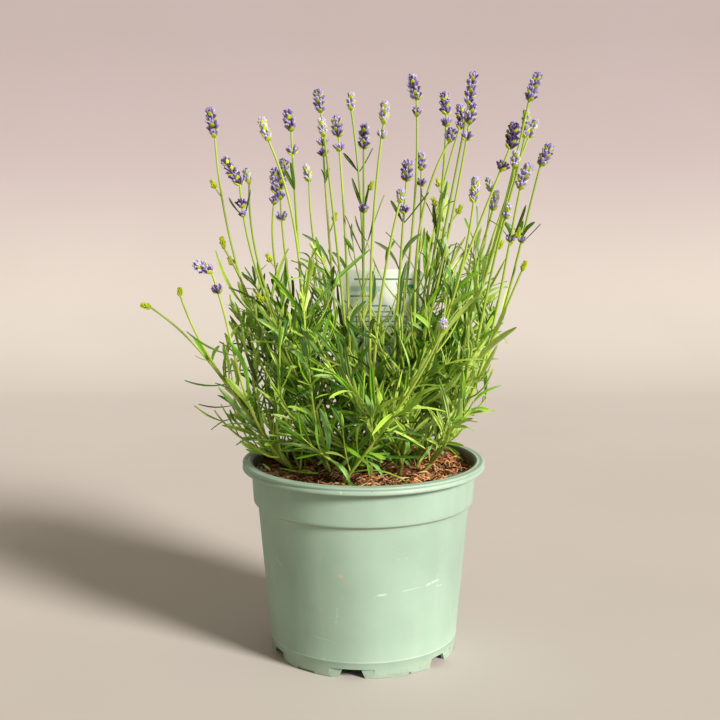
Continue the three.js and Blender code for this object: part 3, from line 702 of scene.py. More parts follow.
def makeLabel():
    width, height = label["width"], label["height"]
    deselectAll()
    bpy.ops.mesh.primitive_plane_add(size=1, location=(0, 0, 0))
    card = named("plantLabel")
    card.scale = (width * mm, height * mm, 1)
    card.location = (0, -height / 2 * mm, 0)
    placeInMesh(card)
    pickVertices(card, lambda x, y, z: y > -1)
    bpy.ops.mesh.bevel(offset=label["corner"] * mm, segments=6, affect="VERTICES")
    strip = label["footWidth"] / width
    pickVertices(card, lambda x, y, z: y < -height + 1)
    bpy.ops.mesh.select_mode(type="EDGE")
    bpy.ops.mesh.extrude_region_move(TRANSFORM_OT_translate={"value": (0, -12 * mm, 0)})
    bpy.ops.transform.resize(value=(strip, 1, 1), center_override=(0, 0, 0))
    slant = math.cos(math.radians(label["lean"]))
    bottom = (label["top"][2] - compost["surface"]) / slant + label["footDepth"]
    bpy.ops.mesh.extrude_region_move(TRANSFORM_OT_translate={"value": (0, (height + 12 - bottom) * mm, 0)})
    bpy.ops.transform.resize(value=(0.5, 1, 1), center_override=(0, 0, 0))
    bpy.ops.object.mode_set(mode="OBJECT")
    applyModifier(card, "SOLIDIFY", thickness=label["thick"] * mm, offset=0)
    applyModifier(card, "BEVEL", width=0.2 * mm, segments=2, limit_method="ANGLE")
    card.rotation_euler = (math.radians(90 - label["lean"]), 0, 0)
    card.location = [v * mm for v in label["top"]]
    placeInMesh(card)
    smoothShade(card, 40)
    card.data.materials.append(cardMaterial())
    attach(card, "root")
    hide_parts("label")


makeLabel()
print("label made")


# The plant: the same growth as the source's, with every leaf

plant = {
    "seed": 1907,
    "rootDepth": 14,
    "rootSpread": 0.28,
    "rootLimit": 34,
    "lean": 0.33,
    "forkShare": 0.24,
    "bareShare": 0.42,
    "rootPull": 0.3,                   # how long a stalk keeps its direction at the root and at the head
    "headPull": 0.36,
    "shoots": 3,
    "clearBend": 0.78,                 # how far back a shoot that meets the label still goes
    "deepestWhorl": 26,
    "stalkWidths": (1.2, 0.95, 0.7),       # half widths at the root, in the middle and at the head
    "shootWidths": (1.1, 0.85, 0.5),
    "leafWidth": 1.95,                 # half width of a full leaf
    "tuftShare": 0.25,
    "tuftLength": (10, 22),
    "tuftWidth": (0.9, 1.4),
    "twigs": 3,                        # side twigs on the leafy part of each stalk
    "twigReach": (20, 48),
    "twigWidths": (0.65, 0.55, 0.35),
    "twigLeafLength": (16, 30),
    "crownLeaves": 17,                 # old dark leaves low on each branch
    "crownReach": (17, 100),
    "crownLength": (16, 36),
    "soilClear": 2.2,                  # how high leaves lie over the compost
    "rimClear": 154.5,                 # and over the floor, where they cross the rim
    "rimReach": (72, 83, 97),          # radii between which leaves rise to the rim, and where it ends
    # tones from 0, dark, to 1, light: in the heart, and what is added outside (for age and as painted shade
    # in the heart), high up, along the stem, and at the right and left as painted light, more on the right
    "toneStart": 0.16,
    "toneOut": 0.24,
    "toneHigh": 0.13,
    "toneAlong": 0.16,
    "paintedLightSides": (0.27, 0.08),
    "toneAhead": -0.14,                # before the label
    "toneScatter": 0.33,
    "toneMost": 0.66,
    # where the card shows between the stalks, across and up, and how much of a leaf may stand before it
    "cardWindow": ((-20, 50), (264, 297)),
    "cardShare": 0.2,
    # boxes in mm where leaves thin out, and the share that stays
    "openings": [((-20, 50), (-120, 74), (225, 264), 0.7),
                 ((-24, 58), (-120, 80), (264, 332), 0.12), ((52, 100), (-60, 70), (140, 190), 0.1),
                 ((18, 52), (-60, 70), (140, 185), 0.5), ((-80, -30), (-90, 60), (140, 165), 0.4),
                 ((-150, -60), (-120, 120), (140, 215), 0.6)],
    # the plant's outline: heights, and how far the leaves reach to the left and to the right
    "outlineHeights": (140, 161, 179, 200, 216, 234, 251, 270, 300, 330),
    "outlineLeft": (-80, -93, -107, -115, -118, -110, -110, -108, -98, -90),
    "outlineRight": (46, 60, 78, 94, 98, 103, 106, 106, 104, 96),
}

# leaves listed one by one: branch, stem, distance along the stem, tip, half width, tone, bloom
setLeaves = [
    (7, 0, 173, (-49, 34, 326), 1.7, 0.12, 0.2), (7, 0, 156, (-51, 31, 307), 1.6, 0.35, 0.2),
    (8, 0, 170, (-24, -10, 314), 1.6, 0.12, 0.2), (11, 1, 104, (8, -37, 323), 1.8, 0.10, 0.2),
    (10, 1, 125, (22, -83, 326), 1.3, 0.30, 0.2), (11, 1, 108, (42, -37, 329), 1.8, 0.20, 0.9),
    (12, 0, 191, (51, 62, 326), 1.4, 0.10, 0.2), (14, 0, 182, (55, -10, 325), 1.4, 0.12, 0.2),
    (5, 3, 56, (-55, -58, 249), 2.0, 0.40, 0.9), (5, 4, 53, (-80, -34, 266), 2.2, 0.40, 0.9),
    (3, 0, 116, (-100, 16, 254), 1.6, 0.45, 0.4), (2, 0, 99, (-100, -45, 251), 1.9, 0.45, 0.4),
    (8, 3, 52, (-11, -37, 260), 1.8, 0.35, 0.9), (14, 1, 34, (21, -17, 258), 1.7, 0.30, 0.3),
    (21, 0, 162, (33, -106, 278), 1.8, 0.55, 0.3), (21, 1, 23, (-32, -66, 204), 2.4, 0.45, 1.0),
    (5, 0, 33, (-61, -30, 164), 2.3, 0.40, 0.8), (21, 1, 22, (-10, -63, 148), 2.2, 0.45, 0.6),
    (4, 0, 35, (-51, -6, 163), 2.0, 0.40, 0.5), (10, 2, 19, (-18, -37, 150), 2.2, 0.40, 0.9),
    (21, 0, 52, (14, -63, 163), 2.6, 0.50, 0.9), (21, 0, 50, (14, -63, 153), 2.0, 0.40, 0.5),
    (11, 0, 22, (21, -13, 139), 1.8, 0.40, 0.5), (21, 0, 69, (42, -73, 178), 2.0, 0.35, 0.6),
    (11, 4, 23, (51, -26, 208), 2.0, 0.45, 0.3), (14, 0, 28, (38, -9, 145), 1.8, 0.35, 0.5),
    (17, 0, 46, (62, -11, 157), 1.8, 0.45, 0.6), (1, 0, 48, (-90, -6, 154), 1.7, 0.55, 0.3),
    (4, 0, 38, (-47, -5, 169), 2.0, 0.30, 0.6), (9, 0, 47, (-18, 10, 192), 2.1, 0.35, 0.9),
    (21, 0, 75, (3, -72, 202), 2.2, 0.35, 0.6), (17, 0, 63, (55, -11, 201), 1.8, 0.20, 0.2),
    (2, 0, 136, (-131, -42, 257), 1.6, 0.08, 0.2), (1, 1, 87, (-130, -7, 234), 1.2, 0.50, 0.2),
    (1, 0, 112, (-139, -4, 214), 1.7, 0.30, 0.3), (1, 2, 75, (-135, 41, 187), 1.4, 0.30, 0.2),
    (1, 2, 68, (-119, 39, 195), 1.4, 0.35, 0.2), (1, 2, 61, (-124, 34, 167), 1.4, 0.50, 0.2),
    (2, 0, 71, (-104, -32, 185), 1.4, 0.35, 0.3), (1, 2, 33, (-102, 17, 158), 1.5, 0.35, 0.3),
    (1, 1, 86, (-111, -7, 242), 1.4, 0.40, 0.3), (16, 4, 108, (99, 8, 284), 1.3, 0.30, 0.3),
    (20, 0, 181, (95, 12, 279), 1.9, 0.75, 0.9), (19, 0, 146, (104, -37, 263), 1.4, 0.55, 0.3),
    (19, 1, 74, (102, -42, 257), 1.6, 0.50, 0.3), (20, 0, 144, (113, 14, 241), 1.2, 0.55, 0.3),
    (20, 0, 111, (99, 10, 243), 1.5, 0.50, 0.9), (12, 2, 89, (93, 11, 227), 1.8, 0.12, 0.2),
    (17, 2, 65, (102, -44, 217), 1.5, 0.60, 0.3), (17, 2, 64, (93, -44, 199), 1.8, 0.50, 0.4),
    (19, 1, 26, (92, -31, 208), 1.5, 0.75, 0.5), (18, 2, 86, (80, -57, 194), 1.4, 0.50, 0.8),
    (18, 2, 83, (81, -55, 185), 1.3, 0.40, 0.3), (17, 0, 47, (75, -9, 175), 1.4, 0.40, 0.4),
    (20, 0, 219, (133, 14, 336), 1.7, 0.12, 0.2), (20, 0, 218, (124, 16, 337), 1.4, 0.18, 0.2),
    (19, 0, 220, (102, -41, 338), 1.5, 0.18, 0.2), (3, 0, 101, (-99, 14, 240), 1.7, 0.20, 0.3),
    (1, 4, 99, (-98, 37, 275), 2.0, 0.35, 0.9), (5, 0, 125, (-65, -50, 270), 1.8, 0.25, 0.3),
    (5, 1, 52, (-28, -41, 266), 1.7, 0.50, 0.4), (5, 3, 53, (-22, -55, 239), 1.7, 0.40, 0.3),
    (5, 3, 38, (-49, -47, 216), 2.3, 0.30, 0.9), (6, 3, 27, (-60, -5, 197), 1.3, 0.70, 0.3),
    (10, 2, 43, (-16, -50, 201), 1.8, 0.45, 0.3), (3, 2, 61, (-11, 59, 181), 1.9, 0.12, 0.3),
    (1, 3, 19, (-40, -16, 188), 1.8, 0.35, 0.5), (13, 0, 143, (32, 18, 286), 1.5, 0.12, 0.2),
    (14, 1, 63, (33, -21, 288), 2.2, 0.50, 1.0), (11, 0, 86, (20, -15, 226), 1.9, 0.60, 1.0),
    (15, 0, 169, (59, -57, 307), 2.3, 0.40, 0.9), (15, 1, 101, (55, -74, 298), 1.7, 0.12, 0.2),
    (15, 1, 88, (79, -71, 290), 1.8, 0.50, 0.4), (15, 1, 100, (82, -76, 304), 1.9, 0.55, 0.4),
    (19, 1, 88, (83, -43, 279), 1.9, 0.20, 0.8), (16, 4, 83, (105, 12, 264), 1.3, 0.25, 0.3),
    (19, 3, 47, (64, -6, 222), 2.0, 0.12, 0.2), (18, 0, 95, (90, 22, 213), 1.3, 0.35, 0.3),
    (14, 2, 69, (60, -63, 221), 2.0, 0.60, 0.8), (19, 3, 34, (69, -10, 201), 1.7, 0.45, 0.3),
    (13, 2, 23, (29, 6, 184), 2.3, 0.45, 0.5), (14, 2, 52, (20, -45, 180), 1.9, 0.65, 0.4),
    (14, 2, 51, (33, -46, 165), 1.7, 0.50, 0.4), (2, 0, 97, (-76, -35, 211), 1.5, 0.35, 0.3),
    (7, 4, 60, (-16, 59, 271), 1.8, 0.20, 0.9), (8, 0, 124, (2, -12, 277), 1.8, 0.35, 0.9),
    (8, 0, 72, (-31, -10, 204), 1.8, 0.15, 0.3), (8, 3, 56, (6, -34, 246), 1.9, 0.35, 0.8),
    (21, 3, 15, (14, -80, 209), 2.0, 0.45, 0.5), (11, 2, 53, (-12, -49, 177), 1.9, 0.50, 0.6),
]


def stalk(form, x, y, z, tipX, tipZ, whorls=(), pairs=()):
    return {"form": form, "base": np.array([x, y, z], float), "tip": np.array([tipX, y * 1.03, tipZ]),
            "whorls": list(whorls), "pairs": list(pairs)}


# head form, its base x, y, z and its tip x, z in mm; whorls and leaf pairs are distances below the head;
# a branch can have its own lean at the root and, for each stalk, a slope to +X where it meets the head
branches = [
    {"stalks": [stalk("bud", -165, 0, 271, -172, 273), stalk("bud", -140, -10, 281, -140, 287)],
     "lean": 0.45},
    {"stalks": [stalk("full", -112, -40, 301, -125, 308, [16])], "lean": 0.85, "slopes": [-0.35]},
    {"stalks": [stalk("full", -117, 35, 402, -121, 425), stalk("bud", -110, 25, 315, -112, 324)],
     "lean": 0.45, "slopes": [-0.05, -0.6]},
    {"stalks": [stalk("full", -93, -12, 365, -105, 385, [17], [25]), stalk("pale", -88, 10, 366, -91, 377)],
     "lean": 0.1, "slopes": [-0.05, 0.05]},
    {"stalks": [stalk("pale", -68, -52, 396, -73, 412), stalk("full", -53, -30, 404, -56, 419, [17], [44])],
     "lean": 0.85, "slopes": [-0.45, -0.05]},
    {"stalks": [stalk("full", -64, 5, 362, -60, 385, [8, 24]), stalk("full", -69, 28, 359, -70, 378, [9])],
     "lean": 0.5, "slopes": [None, 0.2]},
    {"stalks": [stalk("full", -34, 50, 422, -37, 440, [26, 35], [57]), stalk("pale", -45, 78, 368, -48, 381)],
     "slopes": [-0.05, 0]},
    {"stalks": [stalk("full", -19, -6, 401, -21, 416, [11]), stalk("pale", -29, -30, 400, -31, 413)]},
    {"stalks": [stalk("pale", -10, 55, 424, -10, 438, [], [50]),
                stalk("full", 0, 22, 393, 1, 412, [50], [49])],
     "lean": 0.1, "slopes": [-0.15, 0]},
    {"stalks": [stalk("pale", 14, -70, 407, 15, 422, [10]), stalk("pale", 25, -88, 353, 26, 362)],
     "lean": 0.2, "slopes": [0.15, 0.25]},
    {"stalks": [stalk("full", 39, -20, 427, 35, 445, [12]),
                stalk("full", 31, -42, 368, 32, 383, [24], [32])]},
    {"stalks": [stalk("full", 80, 72, 415, 78, 430, [5], [85]), stalk("full", 48, 85, 377, 48, 392, [13])],
     "lean": 0.55, "slopes": [0.35, 0]},
    {"stalks": [stalk("full", 83, 35, 432, 86, 452, [5]), stalk("full", 64, 22, 419, 62, 436, [9])]},
    {"stalks": [stalk("full", 79, -8, 410, 82, 425, [12]), stalk("full", 63, -30, 396, 65, 406)],
     "lean": 0.3, "slopes": [0.15, 0.6]},
    {"stalks": [stalk("full", 103, -64, 390, 106, 408, [16]), stalk("pale", 76, -86, 353, 77, 370)],
     "lean": 0.15, "slopes": [0.4, 0.1]},
    {"stalks": [stalk("pale", 105, 70, 360, 102, 371), stalk("pale", 104, 50, 345, 107, 360)],
     "root": (24, 27)},
    {"stalks": [stalk("full", 123, -12, 427, 130, 447), stalk("pale", 111, -28, 377, 112, 390)],
     "lean": 0.45, "slopes": [0.2]},
    {"stalks": [stalk("pale", 128, 45, 402, 129, 424), stalk("pale", 133, 58, 403, 139, 417)]},
    {"stalks": [stalk("full", 115, -40, 367, 121, 380, [5], [45]), stalk("pale", 102, -52, 341, 105, 351)],
     "lean": 0.8, "slopes": [0.2]},
    {"stalks": [stalk("full", 137, 18, 380, 145, 396, [], [62]), stalk("bud", 123, 8, 299, 126, 306)],
     "lean": 0.7, "slopes": [0.25]},
    {"stalks": [stalk("pale", 54, -105, 266, 55, 274)], "root": (-26, -40), "lean": 0.3},
]

upward = np.array([0, 0, 1.0])


def draw(*keys):
    # a seeded draw from 0 to 1 for any list of whole numbers
    mix = plant["seed"]
    for key in keys:
        mix = ((mix ^ (key + 1)) * 0x9E3779B1) & 0xFFFFFFFF
        mix ^= mix >> 15
    return mix / 4294967296


def bezierLine(a, b, c, d):
    t = np.linspace(0, 1, 201)[:, None]
    points = (1 - t) ** 3 * a + 3 * (1 - t) ** 2 * t * b + 3 * (1 - t) * t * t * c + t ** 3 * d
    return measured(points)


def measured(points):
    reach = np.concatenate([[0], np.cumsum(np.linalg.norm(np.diff(points, axis=0), axis=1))])
    return {"points": points, "reach": reach, "length": reach[-1]}


def pointAt(line, at):
    return np.stack([np.interp(at, line["reach"], line["points"][:, i]) for i in range(3)], axis=-1)


def tangentAt(line, at):
    return unit(pointAt(line, np.add(at, 0.6)) - pointAt(line, np.subtract(at, 0.6)))


def stalkLine(branch, rank, first):
    base, tip = branch["stalks"][rank]["base"], branch["stalks"][rank]["tip"]
    if rank == 0:
        middle = np.mean([one["base"] for one in branch["stalks"]], axis=0) * plant["rootSpread"]
        middle[2] = 0
        if "root" in branch:
            start = np.array([*branch["root"], 0.0])
        else:
            start = middle * min(1, plant["rootLimit"] / np.linalg.norm(middle))
        start[2] = compost["surface"] - plant["rootDepth"]
        lean = branch.get("lean", plant["lean"])
        lift = (base - start) * [lean, lean, plant["rootPull"]]
    else:
        fork = plant["forkShare"] * first["length"]
        start = pointAt(first, fork)
        between = 0.5 * tangentAt(first, fork) + 0.5 * unit(base - start)
        lift = between * plant["rootPull"] * np.linalg.norm(base - start)
    way = base - start
    slope = dict(enumerate(branch.get("slopes", []))).get(rank)
    if slope is None:
        end = unit(0.45 * unit(tip - base) + 0.55 * unit(way))
    else:
        end = unit(np.array([slope, 0, 1]))
    return bezierLine(start, start + lift, base - end * plant["headPull"] * np.linalg.norm(way), base)


def shootLine(number, rank, first):
    place = 20 + 56 * (rank + draw(number, rank, 1)) / plant["shoots"]
    start, middle = pointAt(first, place), pointAt(first, first["length"] / 2)
    side = (rank % 2) * 2 - 1
    turn = math.atan2(middle[1], middle[0]) + side * (0.5 + 1.1 * draw(number, rank, 2))
    steep = draw(number, rank, 3)
    rise = math.radians(14 + 26 * steep if rank == 0 else 38 + 34 * steep)
    length = 50 + 50 * draw(number, rank, 4)
    way = np.array([math.cos(turn) * math.cos(rise), math.sin(turn) * math.cos(rise), math.sin(rise)])
    early = tangentAt(first, place) * 0.4 + way * 0.6
    line = bezierLine(start, start + early * length * 0.35, start + way * length * 0.68,
                      start + way * length * 0.92 + upward * length * 0.22)
    if meetsLabel(line["points"]):                       # bent clear, in front of the card
        line = measured(start + (line["points"] - start) * [1, plant["clearBend"], 1])
    return line


def carriedSides(lines):
    # a side direction carried along each line without twisting
    along = unit(np.gradient(lines, axis=1))
    side = unit(np.cross(along[:, 0], [0.3, 1, 0.2]))
    sides = []
    for level in range(lines.shape[1]):
        step = along[:, level]
        side = unit(side - step * (side * step).sum(-1, keepdims=True))
        sides.append(side)
    return np.stack(sides, axis=1)


def keptAbove(lines):
    # leaves lie on the compost and over the rim, and never pass through them
    inner, lip, outer = plant["rimReach"]
    top = plant["rimClear"]
    radius = np.hypot(lines[..., 0], lines[..., 1])
    ground = soilHeight(lines[..., 0], lines[..., 1]) + plant["soilClear"]
    rim = np.interp(radius, [inner, lip, outer, outer + 0.5], [0, 1, 1, 0])
    least = np.where(radius < lip + 1, ground + (top - ground) * rim, np.where(radius < outer, top, -100))
    lifted = lines.copy()
    lifted[..., 2] = np.maximum(lines[..., 2], least)
    run = np.linalg.norm(np.diff(lines[..., :2], axis=1), axis=-1)
    over = (lifted[..., 2] > lines[..., 2]).any(axis=1) & (radius > lip + 1).any(axis=1)
    for level in [*range(lines.shape[1] - 1), *range(lines.shape[1] - 2, -1, -1)]:
        for here, there in ((level, level + 1), (level + 1, level)):
            least = np.where(over, lifted[:, here, 2] - 0.7 * run[:, level], -100)
            lifted[:, there, 2] = np.maximum(lifted[:, there, 2], least)
    return lifted


def leafPairs(number, rank, line, one):
    # the opposite pairs of leaves along one stem, as in the source
    found = []
    isStalk = one is not None

    def grow(at, pair, reach, more):
        share = at / line["length"]
        along = tangentAt(line, at)
        first = unit(np.cross(along, upward if abs(along[2]) < 0.9 else [1, 0, 0]))
        second = np.cross(along, first)
        turn = (pair % 2) * math.pi / 2 + 0.5 * draw(number, rank, pair, 5)
        turn += 2 * math.pi * draw(number, rank, 6)
        for side in (0, 1):
            angle = turn + side * math.pi
            out = first * math.cos(angle) + second * math.sin(angle)
            spread = math.radians(40 - 16 * share + 14 * (draw(number, rank, pair, side, 7) - 0.5) + more)
            size = reach * (0.8 + 0.35 * draw(number, rank, pair, side, 8))
            way = unit(along * math.cos(spread) + out * math.sin(spread) + 0.12 * upward)
            bend = out * 0.22 * (draw(number, rank, pair, side, 9) - 0.45)
            found.append({"root": pointAt(line, at), "way": way, "bend": bend * size, "size": size,
                          "breadth": np.cross(along, out), "along": along, "out": out, "share": share,
                          "stalk": isStalk, "sure": draw(number, rank, pair, side, 11) < 0.2 or more > 0})

    at = 20 if isStalk and rank == 0 else 10
    top = (1 - plant["bareShare"]) * line["length"] if isStalk else line["length"]
    pair = 0
    while at < top:
        share = at / line["length"]
        grow(at, pair, 30 + 20 * math.sin(math.pi * min(1, share * 1.6)) if isStalk else 42 - 18 * share, 0)
        pair += 1
        at += 13 + 18 * share * share if isStalk else 9.5
    for distance in (one or {}).get("pairs", []):
        grow(line["length"] - distance, pair, 22, 12)
        pair += 1
    return found


def leafSource():
    # linear leaf, widest past its middle, with a sunk midrib and its edges rolled under
    leaf = ringShape("leafSource", 8, [(0, 0.26, 0.1), (0.12, 0.4, 0.12), (0.3, 0.72, 0.13),
                                       (0.5, 0.97, 0.13), (0.68, 1, 0.13), (0.85, 0.8, 0.12),
                                       (0.96, 0.45, 0.09), (1, 0.12, 0.05)])
    pickVertices(leaf, lambda x, y, z: abs(x) < 0.05 and y > 0)
    bpy.ops.transform.translate(value=(0, -0.3 * mm, 0))
    pickVertices(leaf, lambda x, y, z: abs(x) < 0.05 and y < 0)
    bpy.ops.transform.translate(value=(0, -0.22 * mm, 0))
    pickVertices(leaf, lambda x, y, z: abs(y) < 0.01 and z > 0.1)
    bpy.ops.transform.translate(value=(0, -0.04 * mm, 0))
    bpy.ops.object.mode_set(mode="OBJECT")
    return takeShape(leaf)


sources = {
    "leaf": leafSource(),
    "smallLeaf": takeShape(ringShape("smallLeafSource", 4, [
        (0, 0.35, 0.2), (0.3, 0.75, 0.28), (0.62, 1, 0.3), (0.88, 0.7, 0.22), (1, 0.12, 0.06)])),
    "stem": takeShape(ringShape("stemSource", 8, [(i / 24, 1, 1) for i in range(25)])),
    "calyx": takeShape(ringShape("calyxSource", 6, [          # a tube with a pinched dark mouth
        (0, 0.42, 0.42), (0.22, 0.8, 0.8), (0.55, 1, 1), (0.86, 0.92, 0.92), (1, 0.98, 0.98),
        (0.9, 0.45, 0.45)])),
    "bract": takeShape(ringShape("bractSource", 6, [
        (0, 0.5, 0.3), (0.25, 0.95, 0.36), (0.5, 1, 0.32), (0.76, 0.62, 0.24), (1, 0.08, 0.08)])),
}

# colours of the living parts; a ramp gives its two ends first
tints = {
    "leaf": [(0.0, "0b2801"), (1.0, "cfde8e"), (0.25, "2a5f02"), (0.5, "70ae16"), (0.75, "b2d250")],
    "leafBlotch": "509010",
    "leafBloom": "88b27c",
    "leafBack": "8cb44c",
    "leafRib": "447018",
    "leafEdgeAndHighlight": "bcd66a",
    "leafFoot": "b2ca48",
    "leafTip": "8a8f3c",
    "stem": "86a630",
    "stemLight": "a9c250",
    "stemPatch": "90ac3c",
    "stemLowPaintedLight": "b9cc5c",
    "stemWood": "7c7038",
    "calyx": [(0.0, "35204a"), (1.0, "dde2da"), (0.3, "674a96"), (0.55, "977cca"), (0.8, "b4aedb")],
    "calyxFoot": "4e4650",
    "calyxFootPale": "9db070",
    "calyxTipAndHighlight": "dad8ee",
    "calyxHair": "cac6e6",
    "calyxSheen": "e6e0f5",
    "bract": "8fac14",
    "bractLight": "cbdc28",
    "bractPatch": "a9bd38",
    "bractTip": "8b7a4a",
}


def leafMaterial():
    # living leaf: mid green above, paler beneath, light through its thin edges, which are pale as its hairy
    # margin and as a painted highlight; its felt of fine hairs is drawn at under 1 mm, coarser than the real
    # one
    material, tree, at = newMaterial("lavenderLeaf", {"blotch": (150, 3), "felt": (1400, 2)},
                                     ("tone", "bloom", "along", "across", "upper"))
    width = addNode(tree, "ShaderNodeMath", {0: at["across"]}, operation="ABSOLUTE").outputs[0]
    ramp = addNode(tree, "ShaderNodeValToRGB", {"Fac": at["tone"]}, tints["leaf"])
    colour = coated(tree, ramp.outputs[0],
                    (tints["leafBlotch"], (at["blotch"], 0.35, 0.7, 0, 0.2)),
                    (tints["leafBloom"], (at["bloom"], 0.76, 0.96, 0, 0.55)),
                    (tints["leafBack"], (at["upper"], 0.1, -0.5, 0, 0.14)),
                    (tints["leafRib"], (width, 0.25, 0.0, 0, 0.3)),
                    # pale edges: partly the hairy margin, partly a painted highlight
                    (tints["leafEdgeAndHighlight"], (width, 0.75, 1.0, 0, 0.45)),
                    (tints["leafFoot"], (at["along"], 0.14, 0.0, 0, 0.6)),
                    (tints["leafTip"], (at["along"], 0.96, 1.0, 0, 0.35)))
    return surfaced(material, tree, {"Base Color": colour, "Roughness": 0.44, "Specular IOR Level": 0.34,
                                     **litUnder(0.12, 0.0009, 0.0012, 0.0002)}, (at["felt"], 0.25, 0.0002))


def stemMaterial():
    # green square stem: lit ridges, paler low down as painted light in the shade of the foliage, woody brown
    # only at the root
    material, tree, at = newMaterial("lavenderStem", {"patch": (90, 3), "hair": (1100, 2)}, ["tone"])
    colour = coated(tree, tints["stem"], (tints["stemLight"], (at["tone"], 0.0, 1.0)),
                    (tints["stemPatch"], (at["patch"], 0.4, 0.7, 0, 0.3)),
                    # painted light: the stems low in the foliage are made paler against its shade
                    (tints["stemLowPaintedLight"], (at["z"], 0.30, 0.24, 0, 0.5)),
                    (tints["stemWood"], (at["z"], 0.160, 0.142, 0, 0.6)))
    return surfaced(material, tree, {"Base Color": colour, "Roughness": 0.5, "Specular IOR Level": 0.3,
                                     **litUnder(0.15, 0.001, 0.0013, 0.0004)}, (at["hair"], 0.2, 0.0002))


def calyxMaterial():
    # felted calyx: whitish green at its base, violet above, silvered by its hairs, its tip paler partly as
    # painted highlight
    material, tree, at = newMaterial("calyxFelt", {"fleck": (900, 2)}, ("tone", "along"))
    violet = addNode(tree, "ShaderNodeValToRGB", {"Fac": at["tone"]}, tints["calyx"]).outputs[0]
    colour = coated(tree, tints["calyxFoot"], (tints["calyxFootPale"], (at["tone"], 0.5, 0.9)),
                    (violet, (at["along"], 0.05, 0.5)),
                    # pale tips: partly the hairs, partly a painted highlight
                    (tints["calyxTipAndHighlight"], (at["along"], 0.55, 1.0, 0, 0.55), (at["tone"], 0.2, 0.6)),
                    (tints["calyxHair"], (at["fleck"], 0.5, 0.72, 0, 0.3)))
    return surfaced(material, tree, {
        "Base Color": colour, "Roughness": 0.75, "Specular IOR Level": 0.25, "Sheen Weight": 0.25,
        "Sheen Roughness": 0.4, "Sheen Tint": tints["calyxSheen"]}, (at["fleck"], 0.4, 0.0002))


def bractMaterial():
    # thin pointed bract: yellow green, greener in the shade of the head
    material, tree, at = newMaterial("bractGreen", {"patch": (420, 2)}, ("tone", "along"))
    colour = coated(tree, tints["bract"], (tints["bractLight"], at["tone"]),
                    (tints["bractPatch"], (at["patch"], 0.45, 0.7, 0, 0.4)),
                    (tints["bractTip"], (at["along"], 0.85, 1.0, 0, 0.4)))
    return surfaced(material, tree, {"Base Color": colour, "Roughness": 0.55, "Specular IOR Level": 0.3,
                                     **litUnder(0.2, 0.0008, 0.001, 0.0002)})


green = {"leaf": leafMaterial(), "stem": stemMaterial(), "calyx": calyxMaterial(), "bract": bractMaterial()}


def stemLayer(line, last, widths, tone):
    # a square stem from the start of the line to the distance last
    shape = sources["stem"]
    places = pointAt(line, shape["shares"] * last)[None]
    share = shape["shares"] * last / line["length"]
    ridges = np.interp(share, [0, 0.5, 1], widths)[None] * 1.1
    return layCopies(shape, places, carriedSides(places), ridges, tone=[tone], bloom=[0])


def insideOutline(tip):
    left, right = (np.interp(tip[2], plant["outlineHeights"], plant[side])
                   for side in ("outlineLeft", "outlineRight"))
    away = -studio["cameraPlace"][1]
    return left < tip[0] * away / (away + tip[1]) < right


def keepShare(leaf, tip):
    # how likely a leaf stays: fewer high on the stalks, in front of the label and over the bare compost
    share = 0.72
    if leaf["stalk"]:
        share = np.interp(leaf["share"], [0.25, 0.58], [0.85, 0.42])
    x, y, z = tip
    if not insideOutline(tip):
        return 0
    for (x0, x1), (y0, y1), (z0, z1), keep in plant["openings"]:
        if x0 < x < x1 and y0 < y < y1 and z0 < z < z1:
            share *= keep
    return share


def meetsLabel(line):
    # whether a leaf would touch or cross the card
    down = label["top"][2] - line[:, 2]
    off = line[:, 1] - label["top"][1] + down * math.tan(math.radians(label["lean"]))
    half = np.where(down < label["height"] + 8, label["width"] / 2 + 1.5, label["footWidth"] / 2 + 1.5)
    near = (np.abs(line[:, 0] - label["top"][0]) < half) & (down > -2)
    crossed = (off[1:] * off[:-1] < 0) & (near[1:] | near[:-1])
    return bool(crossed.any() or (near & (np.abs(off) < 1.5)).any())


def hidesCard(path):
    # whether a leaf stands before the part of the card that shows between the stalks
    camera = studio["cameraPlace"]
    nearer = (label["top"][1] - camera[1]) / (path[:, 1] - camera[1])
    across, height = path[:, 0] * nearer, camera[2] + (path[:, 2] - camera[2]) * nearer
    (left, right), (low, high) = plant["cardWindow"]
    before = (across > left) & (across < right) & (height > low) & (height < high)
    return np.mean(before) > plant["cardShare"]


def leafTone(middle, share, chance):
    # new leaves, high and outside, are light; old ones in the heart of the plant are dark, partly as painted
    # shade; painted light on the right
    out = min(1.3, math.hypot(middle[0], middle[1]) / (35 + 0.55 * max(0, middle[2] - 140)))
    high = min(1, max(0, middle[2] - 150) / 150)
    right, left = plant["paintedLightSides"]
    paintedSideLight = (right if middle[0] > 0 else left) * min(1, abs(middle[0]) / 90)
    # painted light: leaves low at the front right are lightened, partly as young shoots and partly over the
    # shade of the foliage
    low = (0.1 + 0.16 * np.clip(middle[0] / 20, 0, 1)) * np.clip((215 - middle[2]) / 30, 0, 1)
    ahead = plant["toneAhead"] if high > 0.5 and -24 < middle[0] < 58 else 0
    tone = plant["toneStart"] + plant["toneOut"] * out + plant["toneHigh"] * high + low
    tone += plant["toneAlong"] * share + paintedSideLight + ahead + chance.normal(0, plant["toneScatter"])
    # and the right side may go lighter, as painted light
    return np.clip(tone, 0, plant["toneMost"] + 0.1 * high + 0.14 * np.clip(middle[0] / 60, 0, 1))


def freeLeaf(root, along, out, way, size, bend, share):
    # a leaf that the source leaves out
    return {"root": root, "way": way, "bend": out * size * bend, "size": size, "out": out, "along": along,
            "breadth": unit(np.cross(along, out)), "share": share, "stalk": False, "sure": False}


